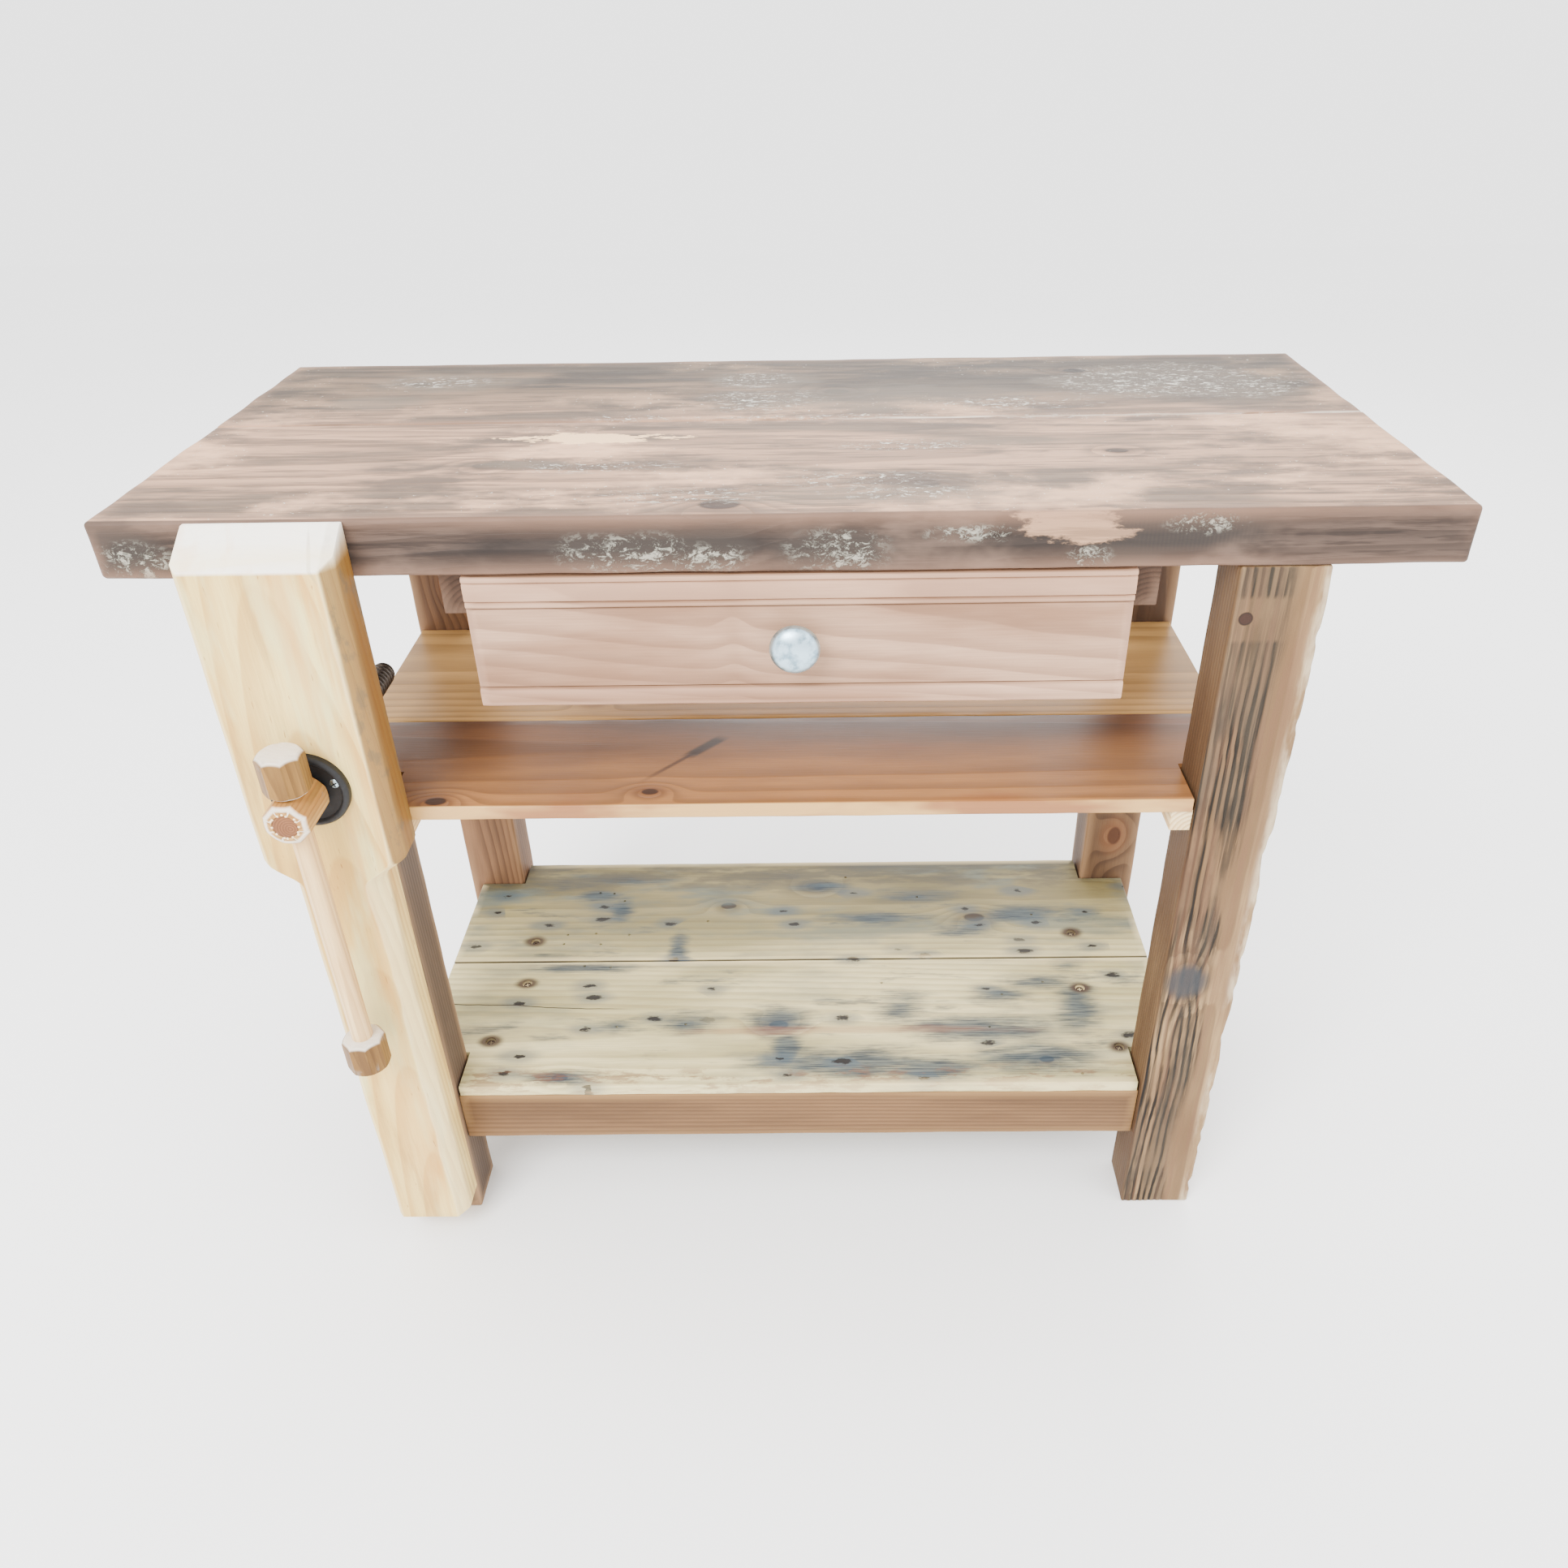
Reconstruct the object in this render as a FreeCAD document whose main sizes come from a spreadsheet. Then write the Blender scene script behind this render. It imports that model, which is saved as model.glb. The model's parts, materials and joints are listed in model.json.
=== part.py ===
"""Small workbench of reclaimed timber with a leg vise, a hung drawer and two shelves.

Millimetres, +Z up, X along the bench with the vise at -X, -Y towards the user. The origin lies on the
floor under the middle of the bench's outline. Every driving size is a cell of the sheet "Dims".
"""

import FreeCAD, Part
import math
import os
import re

import Sketcher

doc = FreeCAD.newDocument("Workbench")

# ---------------------------------------------------------------- driving dimensions
SIZES = {
    # worktop
    "bench_height": 850,
    "top_length": 1126,
    "top_depth": 490,
    "top_thickness": 50,
    "top_front_board": 260,
    "top_edge_round": 4,
    "top_dowel_dia": 12,
    "top_dowel_length": 100,
    # legs
    "leg_end_inset": 108,
    "front_leg_width": 78,
    "front_leg_depth": 60,
    "back_leg_width": 70,
    "back_leg_depth": 60,
    "back_overhang": 52,
    "leg_edge_round": 3,
    "leg_tenon_width": 40,
    "leg_tenon_depth": 26,
    "leg_tenon_height": 30,
    # lower frame and shelf
    "lower_shelf_top": 191,
    "lower_shelf_thickness": 14,
    "lower_shelf_end_inset": 131,
    "lower_shelf_front_board": 207,
    "lower_shelf_back_inset": 20,
    "rail_height": 66,
    "rail_thickness": 32,
    "rail_setback": 9,
    "rail_tenon_length": 24,
    "rail_tenon_thickness": 12,
    "rail_tenon_height": 46,
    "shelf_batten_width": 60,
    "shelf_batten_height": 32,
    "notch_gap": 2.5,
    "board_gap": 0.8,
    "board_edge_round": 1.5,
    # middle shelf
    "middle_shelf_top": 571,
    "middle_shelf_thickness": 15,
    "middle_shelf_end_inset": 120,
    "middle_shelf_front_board": 160,
    "cleat_width": 20,
    "cleat_height": 23,
    "cleat_end_inset": 4,
    # drawer and its runners
    "drawer_offset": 14,
    "drawer_width": 560,
    "drawer_height": 122,
    "drawer_depth": 340,
    "drawer_front_thickness": 20,
    "drawer_side_thickness": 14,
    "drawer_side_inset": 15,
    "drawer_side_height": 100,
    "drawer_bottom_thickness": 5,
    "drawer_bottom_raise": 8,
    "drawer_side_housing": 6,
    "drawer_groove_depth": 5,
    "drawer_top_gap": 2,
    "batten_width": 13,
    "batten_height": 22,
    "batten_drop": 8,
    "runner_web": 26,
    "runner_height": 44,
    "runner_front_inset": 22,
    "slide_gap": 1,
    "knob_dia": 43,
    "knob_reach": 30,
    "knob_neck_dia": 14,
    "knob_rise": 2,
    "knob_offset": 4,
    "knob_bolt_head": 10,
    "knob_bolt_dia": 5,
    # leg vise
    "vise_height": 623,
    "chop_upper_width": 130,
    "chop_lower_width": 80,
    "chop_thickness": 45,
    "chop_gap": 0.3,
    "chop_top_drop": 1,
    "chop_foot_height": 40,
    "chop_shoulder_top": 541,
    "chop_shoulder_drop": 27,
    "chop_bevel_height": 24,
    "chop_bevel_depth": 40,
    "chop_chamfer": 8,
    "spindle_dia": 24,
    "spindle_tail": 178,
    "spindle_socket": 14,
    "spindle_clearance": 1,
    "nut_clearance": 0.06,
    "nut_plate": 58,
    "nut_plate_thickness": 6,
    "nut_boss_dia": 40,
    "nut_length": 30,
    "collar_dia": 38,
    "collar_thickness": 7,
    "collar_recess": 8,
    "collar_gap": 0.5,
    "flange_dia": 72,
    "flange_thickness": 8,
    "flange_rim": 5,
    "flange_dish": 3,
    "flange_hole_circle": 52,
    "flange_hole_angle": 17,
    "hub_flats": 38,
    "hub_length": 54,
    "hub_gap": 0.5,
    "hub_edge": 3,
    "hub_plug_dia": 22,
    "hub_plug_depth": 12,
    "handle_dia": 20,
    "handle_inset": 24,
    "handle_length": 362,
    "handle_clearance": 0.5,
    "cap_flats": 38,
    "cap_height": 40,
    "cap_socket": 24,
    "guide_width": 30,
    "guide_height": 36,
    "guide_centre": 80,
    "guide_tail": 190,
    "guide_socket": 28,
    "guide_clearance": 0.5,
    # fasteners
    "screw_dia": 4,
    "screw_head_dia": 8,
    "screw_head_height": 3,
}

dims = doc.addObject("Spreadsheet::Sheet", "Dims")
for row, (alias, number) in enumerate(SIZES.items(), start=1):
    dims.set(f"A{row}", alias.replace("_", " "))
    dims.set(f"B{row}", str(number))
    dims.setAlias(f"B{row}", alias)
doc.recompute()


def size(alias):
    """The value of one cell of the sheet."""
    return float(dims.get(alias))


def formula(text):
    """A formula in the sheet's aliases, written out as FreeCAD wants it."""
    return re.sub(r"[a-z_]+", lambda m: "Dims." + m[0] if m[0] in SIZES else m[0], text)


# ---------------------------------------------------------------- places that several pieces share
LEFT_END = "(-top_length / 2)"
RIGHT_END = "(top_length / 2)"
VISE_REACH = "(chop_gap + chop_thickness + flange_thickness - flange_dish + hub_gap + hub_length)"
FRONT = f"(({VISE_REACH} - top_depth) / 2)"
BACK = f"({FRONT} + top_depth)"
UNDERSIDE = "(bench_height - top_thickness)"
LEFT_INNER = f"({LEFT_END} + leg_end_inset + front_leg_width)"
RIGHT_INNER = f"({RIGHT_END} - leg_end_inset - front_leg_width)"
LEG_REAR = f"({FRONT} + front_leg_depth)"
BACK_LEG_FRONT = f"({BACK} - back_overhang - back_leg_depth)"
BACK_LEG_REAR = f"({BACK} - back_overhang)"
RAIL_TOP = "(lower_shelf_top - lower_shelf_thickness)"
RAIL_BOTTOM = f"({RAIL_TOP} - rail_height)"
VISE_X = f"({LEFT_INNER} - front_leg_width / 2)"
HUB_FRONT = f"({FRONT} - {VISE_REACH})"
HANDLE_Y = f"({HUB_FRONT} + handle_inset)"
CHOP_BACK = f"({FRONT} - chop_gap)"
CHOP_FRONT = f"({CHOP_BACK} - chop_thickness)"
HUB_BACK = f"({HUB_FRONT} + hub_length)"
DRAWER_LEFT = "(drawer_offset - drawer_width / 2)"
DRAWER_RIGHT = "(drawer_offset + drawer_width / 2)"
DRAWER_TOP = f"({UNDERSIDE} - drawer_top_gap)"
DRAWER_FLOOR = f"({DRAWER_TOP} - drawer_height)"

PARTS = []


def bind(item, prop, text):
    item.setExpression(prop, formula(text))


def put(item, x, y, z):
    """Places an object by formulas."""
    for axis, text in zip("xyz", (x, y, z)):
        bind(item, f"Placement.Base.{axis}", text)
    return item


def keep(item, label):
    """Marks an object as one sub-part, whose label names its file."""
    item.Label = label
    PARTS.append(item)
    return item


def fresh(kind, name):
    return doc.addObject(kind, name)


def block(name, x, y, z):
    """A box between two formulas on each axis: x, y and z are pairs (low, high)."""
    box = fresh("Part::Box", name)
    for prop, (low, high) in zip(("Length", "Width", "Height"), (x, y, z)):
        bind(box, prop, f"({high}) - ({low})")
    return put(box, x[0], y[0], z[0])


def rod(name, radius, length, x, y, z, along):
    """A cylinder whose axis starts at a point and runs along X, Y or Z."""
    bar = fresh("Part::Cylinder", name)
    bind(bar, "Radius", radius)
    bind(bar, "Height", length)
    turn = {"x": ((0, 1, 0), 90), "y": ((1, 0, 0), -90), "z": ((0, 0, 1), 0)}[along]
    bar.Placement.Rotation = FreeCAD.Rotation(FreeCAD.Vector(*turn[0]), turn[1])
    return put(bar, x, y, z)


def fuse(name, pieces):
    joined = fresh("Part::MultiFuse", name)
    joined.Shapes = pieces
    return joined


def compound(name, pieces):
    group = fresh("Part::Compound", name)
    group.Links = pieces
    return group


def cut(name, base, tools):
    """The base less every tool."""
    result = fresh("Part::Cut", name)
    result.Base = base
    result.Tool = tools[0] if len(tools) == 1 else fuse(name + "Tools", tools)
    return result


def rounded(name, base, alias):
    """The base with all its edges rounded to a radius of the sheet, limited by the thinnest side."""
    doc.recompute()
    box = base.Shape.BoundBox
    radius = min(size(alias), 0.3 * min(box.XLength, box.YLength, box.ZLength))
    soft = fresh("Part::Fillet", name)
    soft.Base = base
    soft.Edges = [(number, radius, radius) for number in range(1, len(base.Shape.Edges) + 1)]
    return soft


def wood_screw(name, x, y, z, towards, length):
    """A countersunk screw: its head's flat is at the point and its shank runs towards the named axis."""
    turns = {"-z": ((1, 0, 0), 180), "+z": ((0, 0, 1), 0), "+y": ((1, 0, 0), -90), "-y": ((1, 0, 0), 90),
             "+x": ((0, 1, 0), 90), "-x": ((0, 1, 0), -90)}
    axis, angle = turns[towards]
    head = fresh("Part::Cone", name + "Head")
    shank = fresh("Part::Cylinder", name + "Shank")
    bind(head, "Radius1", "screw_head_dia / 2")
    bind(head, "Radius2", "screw_dia / 2")
    bind(head, "Height", "screw_head_height")
    bind(shank, "Radius", "screw_dia / 2")
    bind(shank, "Height", length)
    for piece in (head, shank):
        piece.Placement.Rotation = FreeCAD.Rotation(FreeCAD.Vector(*axis), angle)
        put(piece, x, y, z)
    return fuse(name, [head, shank])


# ---------------------------------------------------------------- sketch helpers
def new_body(name):
    return fresh("PartDesign::Body", name)


def new_sketch(body, name, plane):
    """A sketch on one of the body's own planes. On XZ the sketch's second axis is Z and its normal is -Y."""
    origin_plane = [f for f in body.Origin.OriginFeatures if f.Role == plane][0]
    sketch = body.newObject("Sketcher::SketchObject", name)
    sketch.AttachmentSupport = [(origin_plane, "")]
    sketch.MapMode = "FlatFace"
    return sketch


def outline(sketch, points):
    """A closed outline of straight lines. Each corner is a pair of formulas for its place from the origin."""
    spots = [FreeCAD.Vector(number(u), number(v), 0) for u, v in points]
    lines = [Part.LineSegment(spots[i], spots[(i + 1) % len(spots)]) for i in range(len(spots))]
    first = sketch.addGeometry(lines, False)[0]
    count = len(points)
    for i in range(count):
        sketch.addConstraint(Sketcher.Constraint("Coincident", first + i, 2, first + (i + 1) % count, 1))
    for i, (u, v) in enumerate(points):
        pin(sketch, first + i, 1, "DistanceX", u, spots[i].x)
        pin(sketch, first + i, 1, "DistanceY", v, spots[i].y)


def pin(sketch, geometry, point, kind, text, value):
    """Holds one coordinate of a point to a formula."""
    if abs(value) < 1e-9 and text == "0":
        axis = -2 if kind == "DistanceX" else -1
        sketch.addConstraint(Sketcher.Constraint("PointOnObject", geometry, point, axis))
        return
    index = sketch.addConstraint(Sketcher.Constraint(kind, -1, 1, geometry, point, value))
    sketch.setExpression(f"Constraints[{index}]", formula(text))


probe = fresh("Part::Box", "Probe")


def number(text):
    """What a formula in the sheet's aliases comes to."""
    return float(probe.evalExpression(formula(text)))


def pad(body, sketch, length, reverse=False):
    feature = body.newObject("PartDesign::Pad", sketch.Name + "Pad")
    feature.Profile = sketch
    feature.Reversed = reverse
    bind(feature, "Length", length)
    sketch.Visibility = False
    doc.recompute()
    return feature


def pocket(body, sketch, length, reverse=False):
    """Cuts a sketch into the body, and stops if nothing was cut."""
    before = body.Shape.Volume
    feature = body.newObject("PartDesign::Pocket", sketch.Name + "Pocket")
    feature.Profile = sketch
    feature.Reversed = reverse
    bind(feature, "Length", length)
    doc.recompute()
    if body.Shape.Volume >= before - 1e-6:
        raise RuntimeError(f"{feature.Name} cuts nothing")
    return feature


def revolve(body, sketch):
    """Turns a sketch once round the sketch's vertical axis."""
    feature = body.newObject("PartDesign::Revolution", sketch.Name + "Turned")
    feature.Profile = sketch
    feature.ReferenceAxis = (sketch, ["V_Axis"])
    feature.Angle = 360
    doc.recompute()
    return feature


def turned(name, points):
    """A turned piece: half its profile as (radius, height) formulas about its own Z axis."""
    body = new_body(name)
    sketch = new_sketch(body, name + "Profile", "XZ_Plane")
    outline(sketch, points)
    revolve(body, sketch)
    return body


def octagon_points(flats, u="0", v="0"):
    """The corners of an upright octagon across its flats, as formulas round a centre."""
    half = f"({flats}) / 2"
    side = f"({flats}) / 2 * {math.tan(math.pi / 8):.9f}"
    signs = [(1, -1, "h"), (1, 1, "h"), (1, 1, "v"), (-1, 1, "v"),
             (-1, 1, "h"), (-1, -1, "h"), (-1, -1, "v"), (1, -1, "v")]
    corners = []
    for su, sv, kind in signs:
        du, dv = (half, side) if kind == "h" else (side, half)
        corners.append((f"{u} + {su} * ({du})", f"{v} + {sv} * ({dv})"))
    return corners


def facing_user(body):
    """Turns a turned piece so that its own +Z points to the user, along -Y."""
    body.Placement.Rotation = FreeCAD.Rotation(FreeCAD.Vector(1, 0, 0), 90)
    return body


# ---------------------------------------------------------------- fasteners, which are also cutting tools
def shelf_screws():
    """Three screws down through the lower shelf into each of its two battens, not quite in line."""
    depth = "lower_shelf_thickness + shelf_batten_height * 0.75"
    screws = []
    for side, inner, sign, places in (("Left", LEFT_INNER, "+", ((22, 80), (45, 177), (40, 255))),
                                      ("Right", RIGHT_INNER, "-", ((12, 63), (39, 161), (32, 263)))):
        for inset, along in places:
            x = f"{inner} {sign} shelf_batten_width * {inset / 60:.3f}"
            y = f"{FRONT} + rail_setback + lower_shelf_front_board * {(along - 9) / 207:.3f}"
            screws.append(wood_screw(f"ShelfScrew{side}{along}", x, y, "lower_shelf_top", "-z", depth))
    return screws


def cleat_screws():
    """Each cleat is screwed to the inner face of a front leg and a back leg."""
    screws = []
    mid = "middle_shelf_top - middle_shelf_thickness - cleat_height / 2"
    for side, face, away, sign in (("Left", LEFT_INNER, "-x", "+"), ("Right", RIGHT_INNER, "+x", "-")):
        for end, y in (("Front", f"{FRONT} + front_leg_depth / 2"),
                       ("Back", f"{BACK_LEG_FRONT} + back_leg_depth / 2")):
            screws.append(wood_screw(f"CleatScrew{side}{end}", f"{face} {sign} cleat_width", y, mid,
                                     away, "cleat_width + 28"))
    return screws


def runner_screws():
    """Three screws hold each drawer runner up against the worktop's underside."""
    screws = []
    for side, x in (("Left", f"{RUNNER_LEFT} + runner_web / 2"), ("Right", f"{RUNNER_RIGHT} - runner_web / 2")):
        for place in (0.12, 0.5, 0.88):
            y = f"{FRONT} + runner_front_inset + {place} * ({RUNNER_LENGTH})"
            screws.append(wood_screw(f"RunnerScrew{side}{int(place * 100)}", x, y,
                                     f"{UNDERSIDE} - runner_height", "+z", "runner_height + 26"))
    return screws


def nut_screws():
    """Four screws hold the nut's plate to the back of the left front leg."""
    screws = []
    for i, (sx, sz) in enumerate(((-1, -1), (1, -1), (-1, 1), (1, 1))):
        screws.append(wood_screw(f"NutScrew{i}", f"{VISE_X} + {sx} * nut_plate * 0.38",
                                 f"{LEG_REAR} + nut_plate_thickness",
                                 f"vise_height + {sz} * nut_plate * 0.38", "-y", "nut_plate_thickness + 22"))
    return screws


def flange_screws():
    """Three screws hold the flange to the front of the chop."""
    screws = []
    for i in range(3):
        turn = f"(flange_hole_angle + {120 * i})"
        screws.append(wood_screw(f"FlangeScrew{i}", f"{VISE_X} + flange_hole_circle / 2 * cos({turn})",
                                 f"{CHOP_FRONT} - flange_thickness + flange_dish",
                                 f"vise_height + flange_hole_circle / 2 * sin({turn})", "+y",
                                 "flange_thickness + 16"))
    return screws


def drawer_screws():
    """Two screws through each batten into a drawer side, and one low in each side into the back."""
    screws = []
    for side, face, away, wall in (("Left", BATTEN_LEFT, "+x", DRAWER_IN_LEFT),
                                   ("Right", BATTEN_RIGHT, "-x", DRAWER_IN_RIGHT)):
        for place in (0.2, 0.8):
            y = f"{FRONT} + drawer_front_thickness + {place} * (drawer_depth - drawer_front_thickness)"
            screws.append(wood_screw(f"BattenScrew{side}{int(place * 100)}", face, y,
                                     f"{DRAWER_TOP} - batten_drop - batten_height / 2", away,
                                     "batten_width + drawer_side_thickness - 4"))
        sign = "-" if side == "Left" else "+"
        screws.append(wood_screw(f"BackScrew{side}", f"{wall} {sign} drawer_side_thickness",
                                 f"{FRONT} + drawer_depth - drawer_side_thickness / 2",
                                 f"{DRAWER_FLOOR} + drawer_height / 2", away, "drawer_side_thickness + 24"))
    return screws


DRAWER_IN_LEFT = f"({DRAWER_LEFT} + drawer_side_inset + drawer_side_thickness)"
DRAWER_IN_RIGHT = f"({DRAWER_RIGHT} - drawer_side_inset - drawer_side_thickness)"
RUNNER_LENGTH = f"({BACK_LEG_FRONT} - {FRONT} - runner_front_inset - 4)"
BATTEN_LEFT = f"({DRAWER_LEFT} + drawer_side_inset - batten_width)"
BATTEN_RIGHT = f"({DRAWER_RIGHT} - drawer_side_inset + batten_width)"
RUNNER_LEFT = f"({BATTEN_LEFT} - slide_gap - runner_web)"
RUNNER_RIGHT = f"({BATTEN_RIGHT} + slide_gap + runner_web)"


# ---------------------------------------------------------------- worktop
def worktop():
    """Two thick boards edge to edge on dowels, mortised underneath for the leg tenons."""
    seam = f"({FRONT} + top_front_board)"
    dowels = [rod(f"TopDowel{i}", "top_dowel_dia / 2", "top_dowel_length",
                  f"{LEFT_END} + top_length * {share}", f"{seam} - top_dowel_length / 2",
                  f"{UNDERSIDE} + top_thickness / 2", "y") for i, share in enumerate((0.1, 0.3, 0.5, 0.7, 0.9))]
    dowel_group = keep(compound("TopDowels", dowels), "worktop_dowels")
    screws = screw_group["runner"]
    boards = (("TopFront", "worktop_front_board", (FRONT, seam), leg_tenons("Front")),
              ("TopBack", "worktop_back_board", (seam, BACK), leg_tenons("Back")))
    for name, label, depth, tenons in boards:
        slab = block(name + "Slab", (LEFT_END, RIGHT_END), depth, (UNDERSIDE, "bench_height"))
        soft = rounded(name + "Soft", slab, "top_edge_round")
        keep(cut(name, soft, [dowel_group, screws] + tenons), label)


def leg_tenons(row):
    """The two tenons on the legs of one row, front or back."""
    low, high = (FRONT, LEG_REAR) if row == "Front" else (BACK_LEG_FRONT, BACK_LEG_REAR)
    tenons = []
    for side in ("Left", "Right"):
        x = leg_centre(row, side)
        y = f"(({low}) + ({high})) / 2"
        tenons.append(block(f"{row}{side}Tenon", (f"{x} - leg_tenon_width / 2", f"{x} + leg_tenon_width / 2"),
                            (f"{y} - leg_tenon_depth / 2", f"{y} + leg_tenon_depth / 2"),
                            (UNDERSIDE, f"{UNDERSIDE} + leg_tenon_height")))
    return tenons


def leg_centre(row, side):
    width = "front_leg_width" if row == "Front" else "back_leg_width"
    return f"({LEFT_INNER} - {width} / 2)" if side == "Left" else f"({RIGHT_INNER} + {width} / 2)"


# ---------------------------------------------------------------- frame
def rail_tenon_blocks():
    """The tenons of the four lower rails, by the leg that they enter."""
    middle = f"(({RAIL_TOP} + {RAIL_BOTTOM}) / 2)"
    height = (f"{middle} - rail_tenon_height / 2", f"{middle} + rail_tenon_height / 2")
    found = {}
    for row, near in (("Front", f"({FRONT} + rail_setback)"),
                      ("Back", f"({BACK_LEG_REAR} - rail_setback - rail_thickness)")):
        y = f"({near} + rail_thickness / 2)"
        depth = (f"{y} - rail_tenon_thickness / 2", f"{y} + rail_tenon_thickness / 2")
        found[row, "Left"] = [block(f"{row}RailTenonLeft", (f"{LEFT_INNER} - rail_tenon_length", LEFT_INNER),
                                    depth, height)]
        found[row, "Right"] = [block(f"{row}RailTenonRight",
                                     (RIGHT_INNER, f"{RIGHT_INNER} + rail_tenon_length"), depth, height)]
    for side, centre in (("Left", SIDE_RAIL_LEFT), ("Right", SIDE_RAIL_RIGHT)):
        width = (f"{centre} - rail_tenon_thickness / 2", f"{centre} + rail_tenon_thickness / 2")
        found["Front", side].append(block(f"{side}RailTenonFront", width,
                                          (f"{LEG_REAR} - rail_tenon_length", LEG_REAR), height))
        found["Back", side].append(block(f"{side}RailTenonBack", width,
                                         (BACK_LEG_FRONT, f"{BACK_LEG_FRONT} + rail_tenon_length"), height))
    return found


SIDE_RAIL_LEFT = f"({LEFT_INNER} - front_leg_width / 2)"
SIDE_RAIL_RIGHT = f"({RIGHT_INNER} + front_leg_width / 2)"


def rails(tenons):
    """Front, back, left and right rails between the legs, each with its two stub tenons."""
    height = (RAIL_BOTTOM, RAIL_TOP)
    for row, near in (("Front", f"{FRONT} + rail_setback"),
                      ("Back", f"{BACK_LEG_REAR} - rail_setback - rail_thickness")):
        bar = block(f"{row}RailBar", (LEFT_INNER, RIGHT_INNER), (near, f"{near} + rail_thickness"), height)
        keep(fuse(f"{row}Rail", [bar, tenons[row, "Left"][0], tenons[row, "Right"][0]]),
             f"lower_{row.lower()}_rail")
    for side, centre in (("Left", SIDE_RAIL_LEFT), ("Right", SIDE_RAIL_RIGHT)):
        bar = block(f"{side}RailBar", (f"{centre} - rail_thickness / 2", f"{centre} + rail_thickness / 2"),
                    (LEG_REAR, BACK_LEG_FRONT), height)
        keep(fuse(f"{side}Rail", [bar, tenons["Front", side][1], tenons["Back", side][1]]),
             f"lower_{side.lower()}_rail")


def legs(tenons):
    """Four posts with a stub tenon on top, mortised for the rails. The left front one carries the vise."""
    for row, (low, high) in (("Front", (FRONT, LEG_REAR)), ("Back", (BACK_LEG_FRONT, BACK_LEG_REAR))):
        width = "front_leg_width" if row == "Front" else "back_leg_width"
        stubs = leg_tenons(row)
        for side, stub in zip(("Left", "Right"), stubs):
            x = leg_centre(row, side)
            post = block(f"{row}{side}Post", (f"{x} - {width} / 2", f"{x} + {width} / 2"), (low, high),
                         ("0", UNDERSIDE))
            soft = rounded(f"{row}{side}PostSoft", post, "leg_edge_round")
            whole = fuse(f"{row}{side}Whole", [soft, stub])
            holes = [screw_group["cleat"]] + tenons[row, side]
            if (row, side) == ("Front", "Left"):
                holes += vise_leg_holes()
            keep(cut(f"{row}{side}Leg", whole, holes), f"{row.lower()}_{side.lower()}_leg")


def vise_leg_holes():
    """The spindle's hole and the guide's mortise through the left front leg, and the nut's screw holes."""
    bore = rod("LegBore", "spindle_dia / 2 + 2 * spindle_clearance", "front_leg_depth",
               VISE_X, FRONT, "vise_height", "y")
    seat = rod("NutSeat", "nut_boss_dia / 2", "nut_length", VISE_X, f"{LEG_REAR} - nut_length",
               "vise_height", "y")
    mortise = block("LegMortise",
                    (f"{VISE_X} - guide_width / 2 - guide_clearance",
                     f"{VISE_X} + guide_width / 2 + guide_clearance"), (FRONT, LEG_REAR),
                    ("guide_centre - guide_height / 2 - guide_clearance",
                     "guide_centre + guide_height / 2 + guide_clearance"))
    return [bore, seat, mortise, screw_group["nut"]]


# ---------------------------------------------------------------- shelves
def notch(name, row, side, z):
    """The space of one leg with a gap round it, which a shelf is cut back from."""
    low, high = (FRONT, LEG_REAR) if row == "Front" else (BACK_LEG_FRONT, BACK_LEG_REAR)
    inner = f"{LEFT_INNER} + notch_gap" if side == "Left" else f"{RIGHT_INNER} - notch_gap"
    outer = LEFT_END if side == "Left" else RIGHT_END
    x = (outer, inner) if side == "Left" else (inner, outer)
    y = (f"{FRONT} - notch_gap", f"{high} + notch_gap") if row == "Front" else (f"{low} - notch_gap", BACK)
    return block(name, x, y, z)


def shelf(name, label, ends, front, seam, back, z, notched, screws):
    """A shelf of two boards. The boards of the notched rows are cut back round the legs that they pass."""
    spans = (("Front", front, f"{seam} - board_gap / 2"), ("Back", f"{seam} + board_gap / 2", back))
    for row, low, high in spans:
        board = block(f"{name}{row}Board", (f"{LEFT_END} + {ends}", f"{RIGHT_END} - {ends}"), (low, high), z)
        soft = rounded(f"{name}{row}Soft", board, "board_edge_round")
        tools = list(screws)
        if row in notched:
            tools += [notch(f"{name}{row}Notch{side}", row, side, (f"{z[0]} - 1", f"{z[1]} + 1"))
                      for side in ("Left", "Right")]
        board = cut(f"{name}{row}", soft, tools) if tools else soft
        keep(board, f"{label}_{row.lower()}_board")


def shelf_battens():
    """Two flat battens between the front and the back rail, which the lower shelf is screwed to."""
    y = (f"{FRONT} + rail_setback + rail_thickness", f"{BACK_LEG_REAR} - rail_setback - rail_thickness")
    z = (f"{RAIL_TOP} - shelf_batten_height", RAIL_TOP)
    for side, x in (("Left", (f"{LEFT_INNER} + notch_gap", f"{LEFT_INNER} + shelf_batten_width")),
                    ("Right", (f"{RIGHT_INNER} - shelf_batten_width", f"{RIGHT_INNER} - notch_gap"))):
        bar = block(f"{side}ShelfBattenBar", x, y, z)
        keep(cut(f"{side}ShelfBatten", bar, [screw_group["shelf"]]), f"{side.lower()}_shelf_batten")


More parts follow.
